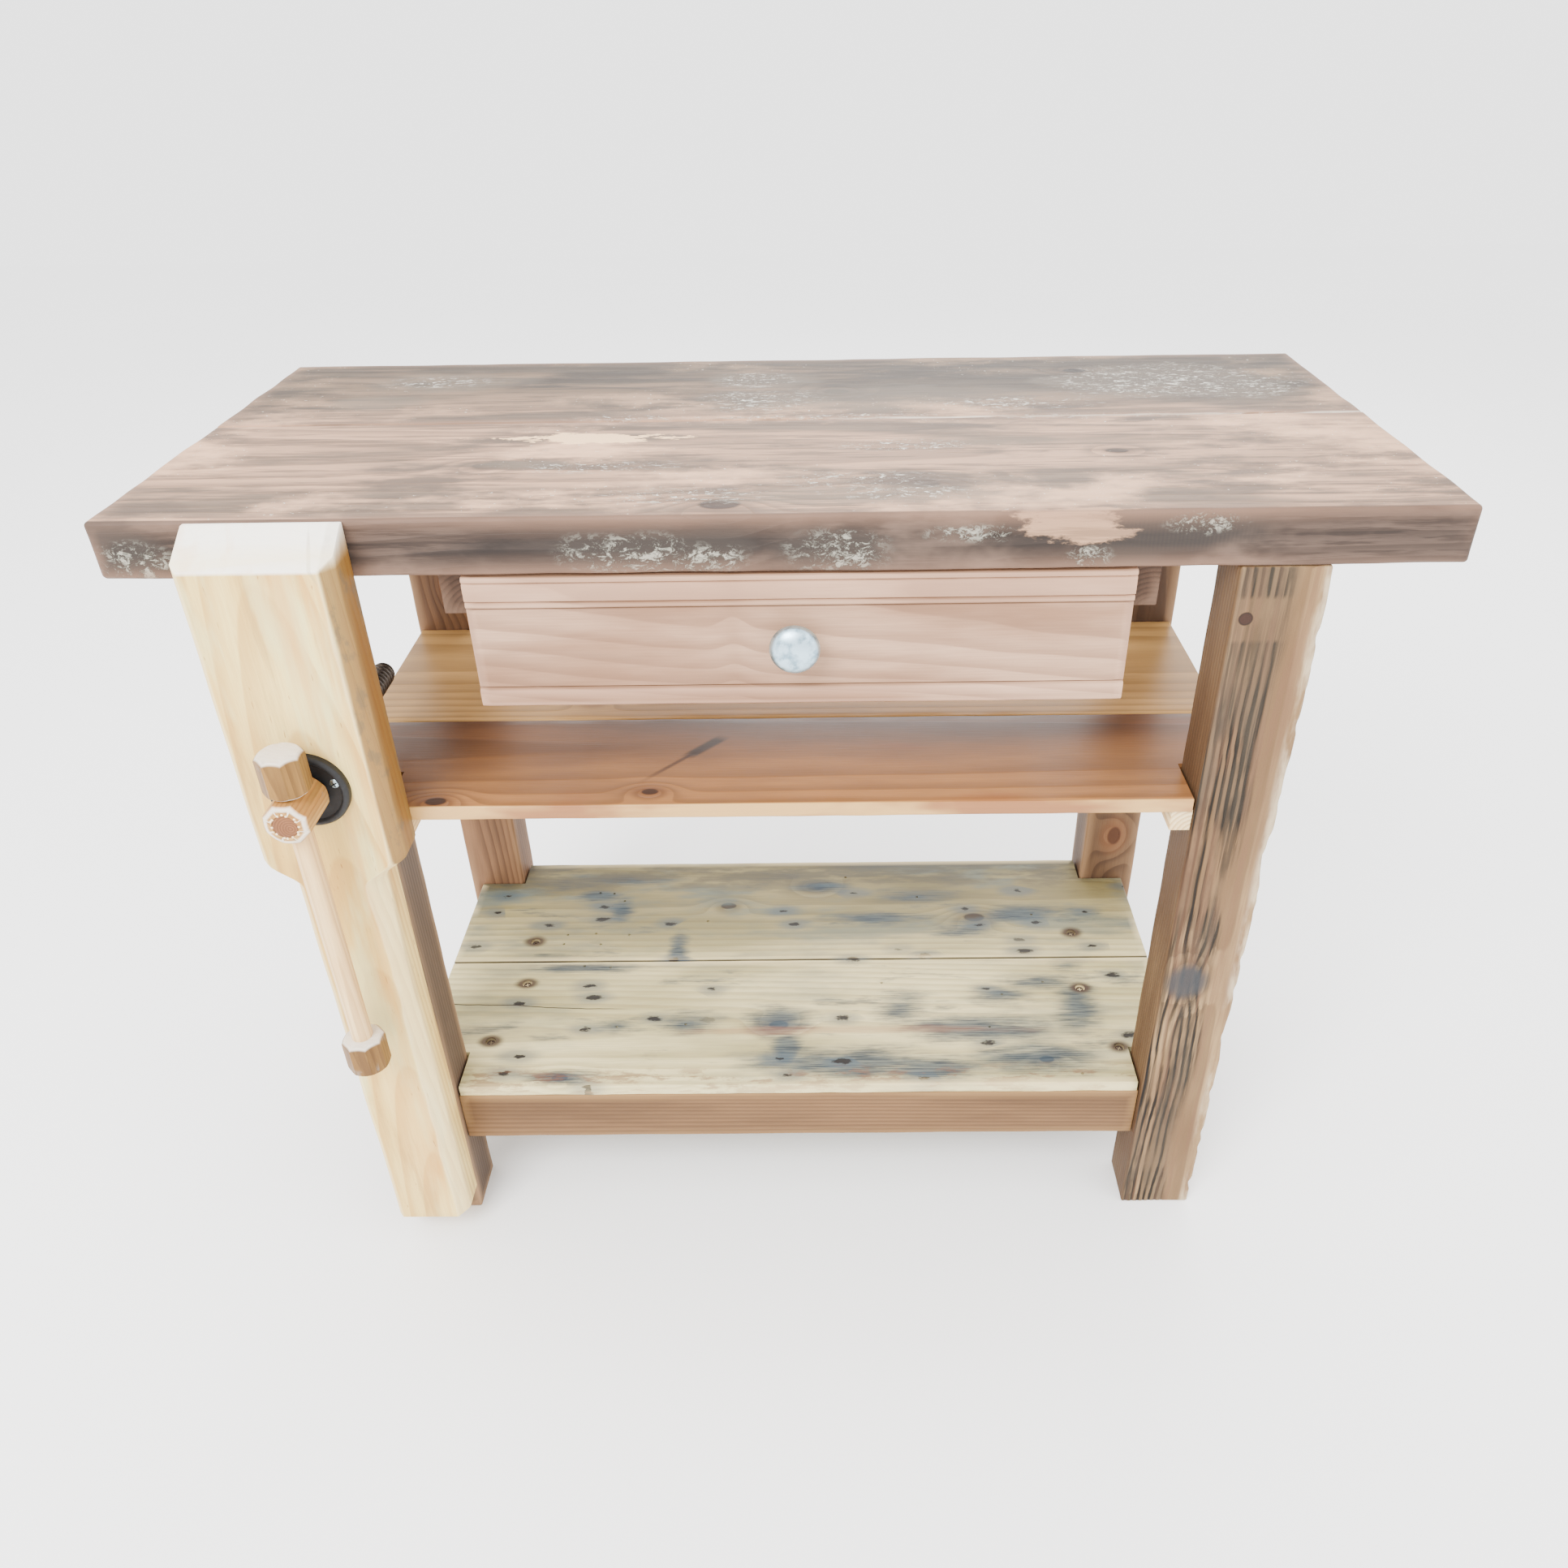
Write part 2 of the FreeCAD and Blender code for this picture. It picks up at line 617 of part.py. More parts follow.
def shelves():
    shelf("Lower", "lower_shelf", "lower_shelf_end_inset", f"({FRONT} + rail_setback)",
          f"({FRONT} + rail_setback + lower_shelf_front_board)",
          f"({BACK_LEG_REAR} - lower_shelf_back_inset)",
          (RAIL_TOP, "lower_shelf_top"), ("Front", "Back"), [screw_group["shelf"]])
    under = "(middle_shelf_top - middle_shelf_thickness)"
    shelf("Middle", "middle_shelf", "middle_shelf_end_inset", FRONT,
          f"({FRONT} + middle_shelf_front_board)", f"({BACK_LEG_FRONT} - board_gap)",
          (under, "middle_shelf_top"), ("Front",), [])
    for side, x in (("Left", (LEFT_INNER, f"{LEFT_INNER} + cleat_width")),
                    ("Right", (f"{RIGHT_INNER} - cleat_width", RIGHT_INNER))):
        bar = block(f"{side}CleatBar", x, (f"{FRONT} + cleat_end_inset", f"{BACK_LEG_REAR} - cleat_end_inset"),
                    (f"{under} - cleat_height", under))
        keep(cut(f"{side}Cleat", bar, [screw_group["cleat"]]), f"{side.lower()}_shelf_cleat")


# ---------------------------------------------------------------- drawer and its runners
SIDE_BASE = f"({DRAWER_TOP} - drawer_side_height - 4)"
SIDE_TOP = f"({DRAWER_TOP} - 4)"
BOTTOM_LOW = f"({SIDE_BASE} + drawer_bottom_raise)"
BOTTOM_HIGH = f"({BOTTOM_LOW} + drawer_bottom_thickness)"
DRAWER_REAR = f"({FRONT} + drawer_depth)"
FRONT_REAR = f"({FRONT} + drawer_front_thickness)"
KNOB_X = "(drawer_offset - knob_offset)"
KNOB_Z = f"({DRAWER_FLOOR} + drawer_height / 2 + knob_rise)"
BATTEN_Z = (f"({DRAWER_TOP} - batten_drop - batten_height)", f"({DRAWER_TOP} - batten_drop)")


def drawer_panel():
    """The bottom board, let into grooves in the front and the sides."""
    return block("DrawerPanel", (f"{DRAWER_IN_LEFT} - drawer_groove_depth",
                                 f"{DRAWER_IN_RIGHT} + drawer_groove_depth"),
                 (f"{FRONT_REAR} - drawer_groove_depth", DRAWER_REAR), (BOTTOM_LOW, BOTTOM_HIGH))


def drawer_front(cutters):
    """The moulded front: a flat field below a bead and groove and above a rounded bottom band."""
    body = new_body("DrawerFrontBlank")
    sketch = new_sketch(body, "DrawerFrontProfile", "YZ_Plane")
    thick = "drawer_front_thickness"
    top = "drawer_height"
    outline(sketch, [
        (thick, "0"), (thick, top), ("2", top), ("0", f"{top} - 4.6"), ("1.6", f"{top} - 5.6"),
        ("0", f"{top} - 7"), ("0", f"{top} - 21.6"), ("2.4", f"{top} - 22.6"), ("0.8", f"{top} - 24.4"),
        ("0.8", f"{top} - 27.4"), ("3.4", f"{top} - 28.8"), ("2.4", f"{top} - 31"), ("2.4", "19.5"),
        ("3.6", "18.6"), ("0.6", "17.4"), ("0", "5"), ("1.6", "1.6"), ("5", "0")])
    pad(body, sketch, "drawer_width")
    put(body, DRAWER_LEFT, FRONT, DRAWER_FLOOR)
    keep(cut("DrawerFront", body, cutters), "drawer_front")


def drawer_sides(panel, screws):
    """The two sides, which are housed in the front; each one with its hanging batten."""
    reach = (f"{FRONT_REAR} - drawer_side_housing", DRAWER_REAR)
    sides = []
    for side, wall, sign in (("Left", DRAWER_IN_LEFT, "-"), ("Right", DRAWER_IN_RIGHT, "+")):
        outer = f"{wall} {sign} drawer_side_thickness"
        x = (outer, wall) if side == "Left" else (wall, outer)
        board = block(f"Drawer{side}Board", x, reach, (SIDE_BASE, SIDE_TOP))
        sides.append(board)
        keep(cut(f"Drawer{side}", board, [panel, screws]), f"drawer_{side.lower()}_side")
        far = f"{outer} {sign} batten_width"
        across = (far, outer) if side == "Left" else (outer, far)
        bar = block(f"{side}BattenBar", across, (f"{FRONT_REAR} + 1", DRAWER_REAR), BATTEN_Z)
        keep(cut(f"{side}Batten", bar, [screws]), f"drawer_{side.lower()}_batten")
    return sides


def drawer():
    panel = keep(drawer_panel(), "drawer_bottom")
    screws = keep(compound("DrawerScrews", drawer_screws()), "drawer_screws")
    sides = drawer_sides(panel, screws)
    bolt = knob_bolt()
    drawer_front([panel, bolt] + sides)
    back = block("DrawerBackBoard", (DRAWER_IN_LEFT, DRAWER_IN_RIGHT),
                 (f"{DRAWER_REAR} - drawer_side_thickness", DRAWER_REAR), (BOTTOM_HIGH, SIDE_TOP))
    keep(cut("DrawerBack", back, [screws]), "drawer_back")
    knob(bolt)


def knob_bolt():
    """The bolt that comes through the front from inside the drawer into the knob."""
    shank = rod("KnobShank", "knob_bolt_dia / 2", "drawer_front_thickness + knob_reach / 2", KNOB_X,
                f"{FRONT} - knob_reach / 2", KNOB_Z, "y")
    head = rod("KnobBoltHead", "knob_bolt_head / 2", "knob_bolt_dia / 2", KNOB_X, FRONT_REAR, KNOB_Z, "y")
    return keep(fuse("KnobBolt", [shank, head]), "knob_bolt")


def knob(bolt):
    """A low domed knob on a waisted neck."""
    dome = "knob_dia / 2"
    neck = "knob_neck_dia / 2"
    points = [("0", "0"), (f"{neck} + 3", "0"), (f"{neck} + 2.4", "2"), (neck, "5"), (neck, "knob_reach - 19")]
    points += [(f"{dome} - 3", "knob_reach - 17"), (dome, "knob_reach - 14.5"), (f"{dome} - 0.5", "knob_reach - 12")]
    for share in (0.9, 0.78, 0.62, 0.44, 0.24):
        height = math.sqrt(1 - share * share)
        points.append((f"{dome} * {share}", f"knob_reach - 12 + 12 * {height:.5f}"))
    points.append(("0", "knob_reach"))
    body = facing_user(turned("KnobBlank", points))
    put(body, KNOB_X, FRONT, KNOB_Z)
    keep(cut("Knob", body, [bolt]), "drawer_knob")


def drawer_runners():
    """Two L-shaped runners under the worktop, whose ledges carry the drawer's battens."""
    ledge_top = f"{BATTEN_Z[0]} - slide_gap"
    low = f"{UNDERSIDE} - runner_height"
    reach = (f"{FRONT} + runner_front_inset", f"{FRONT} + runner_front_inset + {RUNNER_LENGTH}")
    for side, web, ledge in (("Left", (RUNNER_LEFT, f"{RUNNER_LEFT} + runner_web"),
                              (RUNNER_LEFT, f"{BATTEN_LEFT} + batten_width - slide_gap")),
                             ("Right", (f"{RUNNER_RIGHT} - runner_web", RUNNER_RIGHT),
                              (f"{BATTEN_RIGHT} - batten_width + slide_gap", RUNNER_RIGHT))):
        upright = block(f"{side}RunnerWeb", web, reach, (low, UNDERSIDE))
        shelf_part = block(f"{side}RunnerLedge", ledge, reach, (low, ledge_top))
        runner = fuse(f"{side}RunnerWhole", [upright, shelf_part])
        keep(cut(f"{side}Runner", runner, [screw_group["runner"]]), f"{side.lower()}_drawer_runner")


# ---------------------------------------------------------------- leg vise
def chop_blank():
    """The chop: a broad jaw that narrows below to the leg's width, bevelled along its front and its top."""
    body = new_body("ChopBlank")
    face = new_sketch(body, "ChopOutline", "XZ_Plane")
    wide = "chop_upper_width / 2"
    narrow = "chop_lower_width / 2"
    top = "bench_height - chop_top_drop"
    turn = "chop_shoulder_top - chop_shoulder_drop"
    outline(face, [(f"-({narrow})", "chop_foot_height"), (narrow, "chop_foot_height"), (narrow, turn),
                   (wide, "chop_shoulder_top"), (wide, top), (f"-({wide})", top),
                   (f"-({wide})", "chop_shoulder_top"), (f"-({narrow})", turn)])
    blank = pad(body, face, "chop_thickness")
    rim = [f"Edge{i + 1}" for i, edge in enumerate(blank.Shape.Edges) if is_long_front_edge(edge)]
    chamfer = body.newObject("PartDesign::Chamfer", "ChopEdges")
    chamfer.Base = (blank, rim)
    bind(chamfer, "Size", "chop_chamfer")
    doc.recompute()
    slope = new_sketch(body, "ChopTopBevel", "YZ_Plane")
    outline(slope, [("-chop_thickness - 1", top + " + 1"),
                    ("-chop_thickness + chop_bevel_depth", top + " + 1"),
                    ("-chop_thickness + chop_bevel_depth", top),
                    ("-chop_thickness", top + " - chop_bevel_height"),
                    ("-chop_thickness - 1", top + " - chop_bevel_height")])
    bevel = pocket(body, slope, "chop_upper_width + 2")
    bevel.Midplane = True
    doc.recompute()
    put(body, VISE_X, CHOP_BACK, "0")
    return body


def is_long_front_edge(edge):
    """Whether an edge of the chop lies in its front face and isn't its top or its foot."""
    start, end = (vertex.Point for vertex in edge.Vertexes)
    in_front = max(start.y, end.y) < -0.99 * size("chop_thickness")
    return in_front and abs(start.z - end.z) > 1


def vise():
    """The chop with its guide, the flange over the spindle's collar, the nut, the hub and the handle."""
    guide = block("Guide", (f"{VISE_X} - guide_width / 2", f"{VISE_X} + guide_width / 2"),
                  (f"{CHOP_BACK} - guide_socket", f"{FRONT} + guide_tail"),
                  ("guide_centre - guide_height / 2", "guide_centre + guide_height / 2"))
    keep(guide, "vise_guide")
    bore = rod("ChopBore", "spindle_dia / 2 + spindle_clearance", "chop_thickness", VISE_X, CHOP_FRONT,
               "vise_height", "y")
    recess = rod("CollarRecess", "collar_dia / 2 + spindle_clearance", "collar_recess", VISE_X, CHOP_FRONT,
                 "vise_height", "y")
    keep(cut("Chop", chop_blank(), [guide, bore, recess, screw_group["flange"]]), "vise_chop")
    flange()
    nut()
    spindle()
    hub()


def flange():
    """A black ring with a raised rim, a bore for the spindle and three screw holes."""
    outer = "flange_dia / 2"
    inner = "spindle_dia / 2 + spindle_clearance"
    thick = "flange_thickness"
    body = facing_user(turned("FlangeBlank", [
        (inner, "0"), (outer, "0"), (outer, f"{thick} - 3"), (f"{outer} - 2", thick),
        (f"{outer} - flange_rim", thick), (f"{outer} - flange_rim - 2", f"{thick} - flange_dish"),
        (inner, f"{thick} - flange_dish")]))
    put(body, VISE_X, CHOP_FRONT, "vise_height")
    keep(cut("Flange", body, [screw_group["flange"]]), "vise_flange")


def nut():
    """The nut: a square plate behind the leg with a round boss let into it."""
    plate = block("NutPlate", (f"{VISE_X} - nut_plate / 2", f"{VISE_X} + nut_plate / 2"),
                  (LEG_REAR, f"{LEG_REAR} + nut_plate_thickness"),
                  ("vise_height - nut_plate / 2", "vise_height + nut_plate / 2"))
    boss = rod("NutBoss", "nut_boss_dia / 2", "nut_length", VISE_X, f"{LEG_REAR} - nut_length",
               "vise_height", "y")
    bore = rod("NutBore", "spindle_dia / 2 + nut_clearance", "nut_length + nut_plate_thickness", VISE_X,
               f"{LEG_REAR} - nut_length", "vise_height", "y")
    keep(cut("Nut", fuse("NutWhole", [plate, boss]), [bore, screw_group["nut"]]), "vise_nut")


def spindle():
    """The round spindle with a domed tail, and the collar that draws the chop back out."""
    start = f"({HUB_BACK} - spindle_socket)"
    length = f"({FRONT} + spindle_tail - {start})"
    radius = "spindle_dia / 2"
    points = [("0", "0"), (radius, "0"), (radius, f"{length} - {radius}")]
    for degrees in (18, 36, 54, 72):
        points.append((f"{radius} * {math.cos(math.radians(degrees)):.5f}",
                       f"{length} - {radius} + {radius} * {math.sin(math.radians(degrees)):.5f}"))
    points.append(("0", length))
    body = turned("Spindle", points)
    body.Placement.Rotation = FreeCAD.Rotation(FreeCAD.Vector(1, 0, 0), -90)
    keep(put(body, VISE_X, start, "vise_height"), "vise_spindle")
    ring = rod("CollarRing", "collar_dia / 2", "collar_thickness", VISE_X, f"{CHOP_FRONT} + collar_gap",
               "vise_height", "y")
    hole = rod("CollarBore", "spindle_dia / 2", "collar_thickness", VISE_X, f"{CHOP_FRONT} + collar_gap",
               "vise_height", "y")
    keep(cut("Collar", ring, [hole]), "spindle_collar")


def octagonal(name, flats, length, edge):
    """An octagonal block along its own -Y, with the sharp edges of both ends taken off."""
    body = new_body(name)
    sketch = new_sketch(body, name + "Outline", "XZ_Plane")
    outline(sketch, octagon_points(flats))
    blank = pad(body, sketch, length)
    ends = [f"Face{i + 1}" for i, face in enumerate(blank.Shape.Faces) if len(face.Edges) == 8]
    chamfer = body.newObject("PartDesign::Chamfer", name + "Edges")
    chamfer.Base = (blank, ends)
    bind(chamfer, "Size", edge)
    doc.recompute()
    return body


def hub():
    """The octagonal wooden hub on the spindle, its front plug, and the handle that slides through it."""
    blank = octagonal("HubBlank", "hub_flats", "hub_length", "hub_edge")
    put(blank, VISE_X, HUB_BACK, "vise_height")
    plug = rod("HubPlug", "hub_plug_dia / 2", "hub_plug_depth", VISE_X, HUB_FRONT, "vise_height", "y")
    keep(plug, "hub_plug")
    socket = rod("HubSocket", "spindle_dia / 2", "spindle_socket", VISE_X, f"{HUB_BACK} - spindle_socket",
                 "vise_height", "y")
    cross = rod("HubCrossHole", "handle_dia / 2 + handle_clearance", "hub_flats + 2", VISE_X, HANDLE_Y,
                "vise_height - hub_flats / 2 - 1", "z")
    keep(cut("Hub", blank, [plug, socket, cross]), "vise_hub")
    top = "(vise_height + hub_flats / 2 + hub_gap + cap_height)"
    bar = rod("HandleBar", "handle_dia / 2", "handle_length - 2 * (cap_height - cap_socket)", VISE_X, HANDLE_Y,
              f"{top} - handle_length + cap_height - cap_socket", "z")
    keep(bar, "handle_rod")
    for end, z in (("Upper", f"{top} - cap_height"), ("Lower", f"{top} - handle_length")):
        cap = octagonal(f"{end}CapBlank", "cap_flats", "cap_height", "hub_edge")
        cap.Placement.Rotation = FreeCAD.Rotation(FreeCAD.Vector(1, 0, 0), -90)
        put(cap, VISE_X, HANDLE_Y, z)
        keep(cut(f"{end}Cap", cap, [bar]), f"handle_{end.lower()}_cap")


# ---------------------------------------------------------------- build, check and write
screw_group = {
    "shelf": keep(compound("ShelfScrews", shelf_screws()), "lower_shelf_screws"),
    "cleat": keep(compound("CleatScrews", cleat_screws()), "cleat_screws"),
    "runner": keep(compound("RunnerScrews", runner_screws()), "runner_screws"),
    "nut": keep(compound("NutScrews", nut_screws()), "nut_screws"),
    "flange": keep(compound("FlangeScrews", flange_screws()), "flange_screws"),
}


def main():
    worktop()
    tenons = rail_tenon_blocks()
    legs(tenons)
    rails(tenons)
    shelf_battens()
    shelves()
    drawer_runners()
    drawer()
    vise()
    doc.recompute()
    bad = [item.Label for item in doc.Objects if "Invalid" in item.State or "Error" in item.State]
    empty = [item.Label for item in PARTS if item.Shape.isNull() or not item.Shape.isValid()]
    if bad or empty:
        raise RuntimeError(f"broken objects: {bad + empty}")
    os.makedirs("parts", exist_ok=True)
    for item in PARTS:
        item.Shape.exportStep(f"parts/{item.Label}.step")
    print(len(PARTS), "parts written")


main()
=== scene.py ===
import json
import math

import bmesh
import bpy
import numpy as np
from bpy.props import FloatProperty, FloatVectorProperty, IntProperty, PointerProperty
from mathutils import Matrix, Vector, noise


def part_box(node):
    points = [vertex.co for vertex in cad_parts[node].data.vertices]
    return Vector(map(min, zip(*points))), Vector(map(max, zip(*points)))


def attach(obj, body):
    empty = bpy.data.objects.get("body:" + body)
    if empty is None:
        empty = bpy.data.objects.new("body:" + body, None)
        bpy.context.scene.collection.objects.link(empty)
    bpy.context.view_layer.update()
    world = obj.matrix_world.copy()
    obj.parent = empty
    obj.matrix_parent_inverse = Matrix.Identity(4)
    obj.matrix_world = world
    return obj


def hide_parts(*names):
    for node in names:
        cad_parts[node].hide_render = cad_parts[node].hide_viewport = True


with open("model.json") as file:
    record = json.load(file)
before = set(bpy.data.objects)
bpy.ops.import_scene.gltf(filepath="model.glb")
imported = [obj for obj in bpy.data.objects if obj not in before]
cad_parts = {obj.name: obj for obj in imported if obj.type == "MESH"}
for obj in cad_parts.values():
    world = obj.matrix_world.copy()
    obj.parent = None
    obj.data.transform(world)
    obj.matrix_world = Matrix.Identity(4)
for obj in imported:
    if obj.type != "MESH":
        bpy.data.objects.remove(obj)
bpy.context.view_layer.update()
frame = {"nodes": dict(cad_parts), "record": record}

bl_info = {
    "name": "Reclaimed Timber Potting Bench",
    "version": (1, 0, 0),
    "blender": (4, 5, 0),
    "location": "3D View > Sidebar > Bench",
    "description": "Finishes a potting bench of reclaimed timber with a leg vise, a drawer and two shelves",
    "category": "Object",
}

# ---------------------------------------------------------------- places, read from the frame, and three marks given as numbers
BOX = {node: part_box(node) for node in frame["nodes"]}
BODY = {node: body for body, members in frame["record"]["behaviour"]["bodies"].items() for node in members}
SLOT = {part["node"]: part["material_slot"] for part in frame["record"]["subparts"]}
MM = 0.001
FRONT = BOX["worktop_front_board"][0].y
TOP = BOX["worktop_front_board"][1].z
SCREW_AXIS = (BOX["vise_spindle"][0] + BOX["vise_spindle"][1]) / 2
BRUISE = 0.243  # x of the bruised and filled place on the worktop's front edge
LEG_KNOT = (26 * MM, 0.345)  # the right leg's grey knot: in from its left edge, and up from the floor
LEG_PLUG = (12 * MM, 0.753)  # the brown plug near its top, likewise


def middle(node):
    """The centre of a node's box."""
    return (BOX[node][0] + BOX[node][1]) / 2


# ---------------------------------------------------------------- settings a user would change
class TimberSettings(bpy.types.PropertyGroup):
    """Sizes of the wear on the timber."""

    edge_round: FloatProperty(name="Edge round", description="Radius that use has put on the worktop's edges",
                              default=4 * MM, unit="LENGTH")
    edge_wander: FloatProperty(name="Edge wander", description="How much that radius changes along an edge",
                               default=0.55, min=0, max=0.9, subtype="FACTOR")
    face_wave: FloatProperty(name="Face wave", description="Depth of the low places on a planed face",
                             default=0.5 * MM, unit="LENGTH")
    ridge_depth: FloatProperty(name="Ridge depth", description="Depth of the right leg's weathered grain",
                               default=1.3 * MM, unit="LENGTH")
    nail_hole: FloatProperty(name="Nail hole", description="Diameter of the lower shelf's old nail holes",
                             default=3.4 * MM, unit="LENGTH")


class ViseSettings(bpy.types.PropertyGroup):
    """Sizes of the leg vise's finish."""

    thread_pitch: FloatProperty(name="Thread pitch", description="Advance of the spindle in one turn",
                                default=6 * MM, unit="LENGTH")
    thread_depth: FloatProperty(name="Thread depth", description="Depth of the spindle's square thread",
                                default=2 * MM, unit="LENGTH")
    chamfer_right: FloatProperty(name="Right chamfer", description="Width of the chop's right-hand chamfer",
                                 default=11 * MM, unit="LENGTH")
    chamfer_left: FloatProperty(name="Left chamfer", description="Width of the chop's left-hand chamfer",
                                default=6 * MM, unit="LENGTH")
    dimples: IntProperty(name="Dimples", description="Tool marks round the hub's plug", default=16, min=3)


class StageSettings(bpy.types.PropertyGroup):
    """Camera, lamps and floor."""

    lens: FloatProperty(name="Lens", description="Focal length of the camera in millimetres", default=27.89)
    floor: FloatVectorProperty(name="Floor", description="Colour of the floor", subtype="COLOR",
                               default=(0.95, 0.95, 0.95), min=0, max=1)
    sky: FloatProperty(name="Sky", description="Strength of the light from all round", default=2.8, min=0)


def timber():
    return bpy.context.scene.bench_timber


def vise():
    return bpy.context.scene.bench_vise


# ---------------------------------------------------------------- node graph helpers
def tone(code):
    """A linear colour from a hex code."""
    channels = [int(code[i:i + 2], 16) / 255 for i in (1, 3, 5)]
    return tuple(c / 12.92 if c <= 0.04045 else ((c + 0.055) / 1.055) ** 2.4 for c in channels) + (1.0,)


class Graph:
    """Short words for the nodes of one material."""

    def __init__(self, name):
        self.material = bpy.data.materials.new(name)
        self.material.use_nodes = True
        self.nodes = self.material.node_tree.nodes
        self.links = self.material.node_tree.links
        self.shader = self.nodes["Principled BSDF"]

    def node(self, kind, **settings):
        made = self.nodes.new(kind)
        for key, value in settings.items():
            setattr(made, key, value)
        return made

    def feed(self, socket, value):
        if isinstance(value, bpy.types.NodeSocket):
            self.links.new(value, socket)
        else:
            socket.default_value = value

    def math(self, operation, a, b=0.0, clamp=False):
        made = self.node("ShaderNodeMath", operation=operation, use_clamp=clamp)
        self.feed(made.inputs[0], a)
        self.feed(made.inputs[1], b)
        return made.outputs[0]

    def add(self, *terms):
        total = terms[0]
        for term in terms[1:]:
            total = self.math("ADD", total, term)
        return total

    def times(self, a, b):
        return self.math("MULTIPLY", a, b)

    def vector(self, x, y, z):
        made = self.node("ShaderNodeCombineXYZ")
        for socket, value in zip(made.inputs, (x, y, z)):
            self.feed(socket, value)
        return made.outputs[0]

    def object_axes(self):
        place = self.node("ShaderNodeTexCoord").outputs["Object"]
        split = self.node("ShaderNodeSeparateXYZ")
        self.links.new(place, split.inputs[0])
        return split.outputs[0], split.outputs[1], split.outputs[2]

    def noise(self, vector, detail=2.0, rough=0.5, twist=0.0):
        made = self.node("ShaderNodeTexNoise")
        self.feed(made.inputs["Vector"], vector)
        made.inputs["Scale"].default_value = 1.0
        made.inputs["Detail"].default_value = detail
        made.inputs["Roughness"].default_value = rough
        made.inputs["Distortion"].default_value = twist
        return made.outputs["Fac"]

    def stretched(self, axes, scales, offset=0.0, **settings):
        """Noise whose scale differs by axis."""
        a, b, c = (self.times(axis, scale) for axis, scale in zip(axes, scales))
        return self.noise(self.vector(self.math("ADD", a, offset), b, c), **settings)

    def band(self, value, low, high):
        """0 at low, 1 at high, smooth between; low may be the larger one."""
        made = self.node("ShaderNodeMapRange", interpolation_type="SMOOTHSTEP")
        self.feed(made.inputs["Value"], value)
        made.inputs["From Min"].default_value = min(low, high)
        made.inputs["From Max"].default_value = max(low, high)
        made.inputs["To Min"].default_value = 0.0 if low < high else 1.0
        made.inputs["To Max"].default_value = 1.0 if low < high else 0.0
        return made.outputs["Result"]

    def mix(self, share, a, b, blend="MIX"):
        made = self.node("ShaderNodeMix", data_type="RGBA", blend_type=blend)
        self.feed(made.inputs[0], share)
        self.feed(made.inputs[6], a)
        self.feed(made.inputs[7], b)
        return made.outputs[2]

    def attribute(self, name):
        return self.node("ShaderNodeAttribute", attribute_name=name).outputs["Fac"]

    def length(self, *parts):
        total = self.math("POWER", parts[0], 2.0)
        for part in parts[1:]:
            total = self.math("ADD", total, self.math("POWER", part, 2.0))
        return self.math("SQRT", total)

    def spot(self, u, v, centre, radii, ragged=0.0, soft=0.35):
        """An oval patch, 1 inside and 0 outside, with a ragged edge where a noise is given."""
        du = self.math("DIVIDE", self.math("SUBTRACT", u, centre[0]), radii[0])
        dv = self.math("DIVIDE", self.math("SUBTRACT", v, centre[1]), radii[1])
        reach = self.length(du, dv)
        if ragged:
            reach = self.math("ADD", reach, ragged)
        return self.band(reach, 1.0 + soft, 1.0 - soft)

    def most(self, masks):
        best = masks[0]
        for mask in masks[1:]:
            best = self.math("MAXIMUM", best, mask)
        return best

    def bump(self, height, depth, strength=1.0):
        made = self.node("ShaderNodeBump")
        made.inputs["Strength"].default_value = strength
        made.inputs["Distance"].default_value = depth
        self.feed(made.inputs["Height"], height)
        self.links.new(made.outputs[0], self.shader.inputs["Normal"])

    def finish(self, colour, rough, shine=0.22):
        self.shader.inputs["Specular IOR Level"].default_value = shine
        self.feed(self.shader.inputs["Base Color"], colour)
        self.feed(self.shader.inputs["Roughness"], rough)
        return self.material


# ---------------------------------------------------------------- timber
GRAIN_ORDER = {"x": (0, 1, 2), "y": (1, 0, 2), "z": (2, 0, 1)}


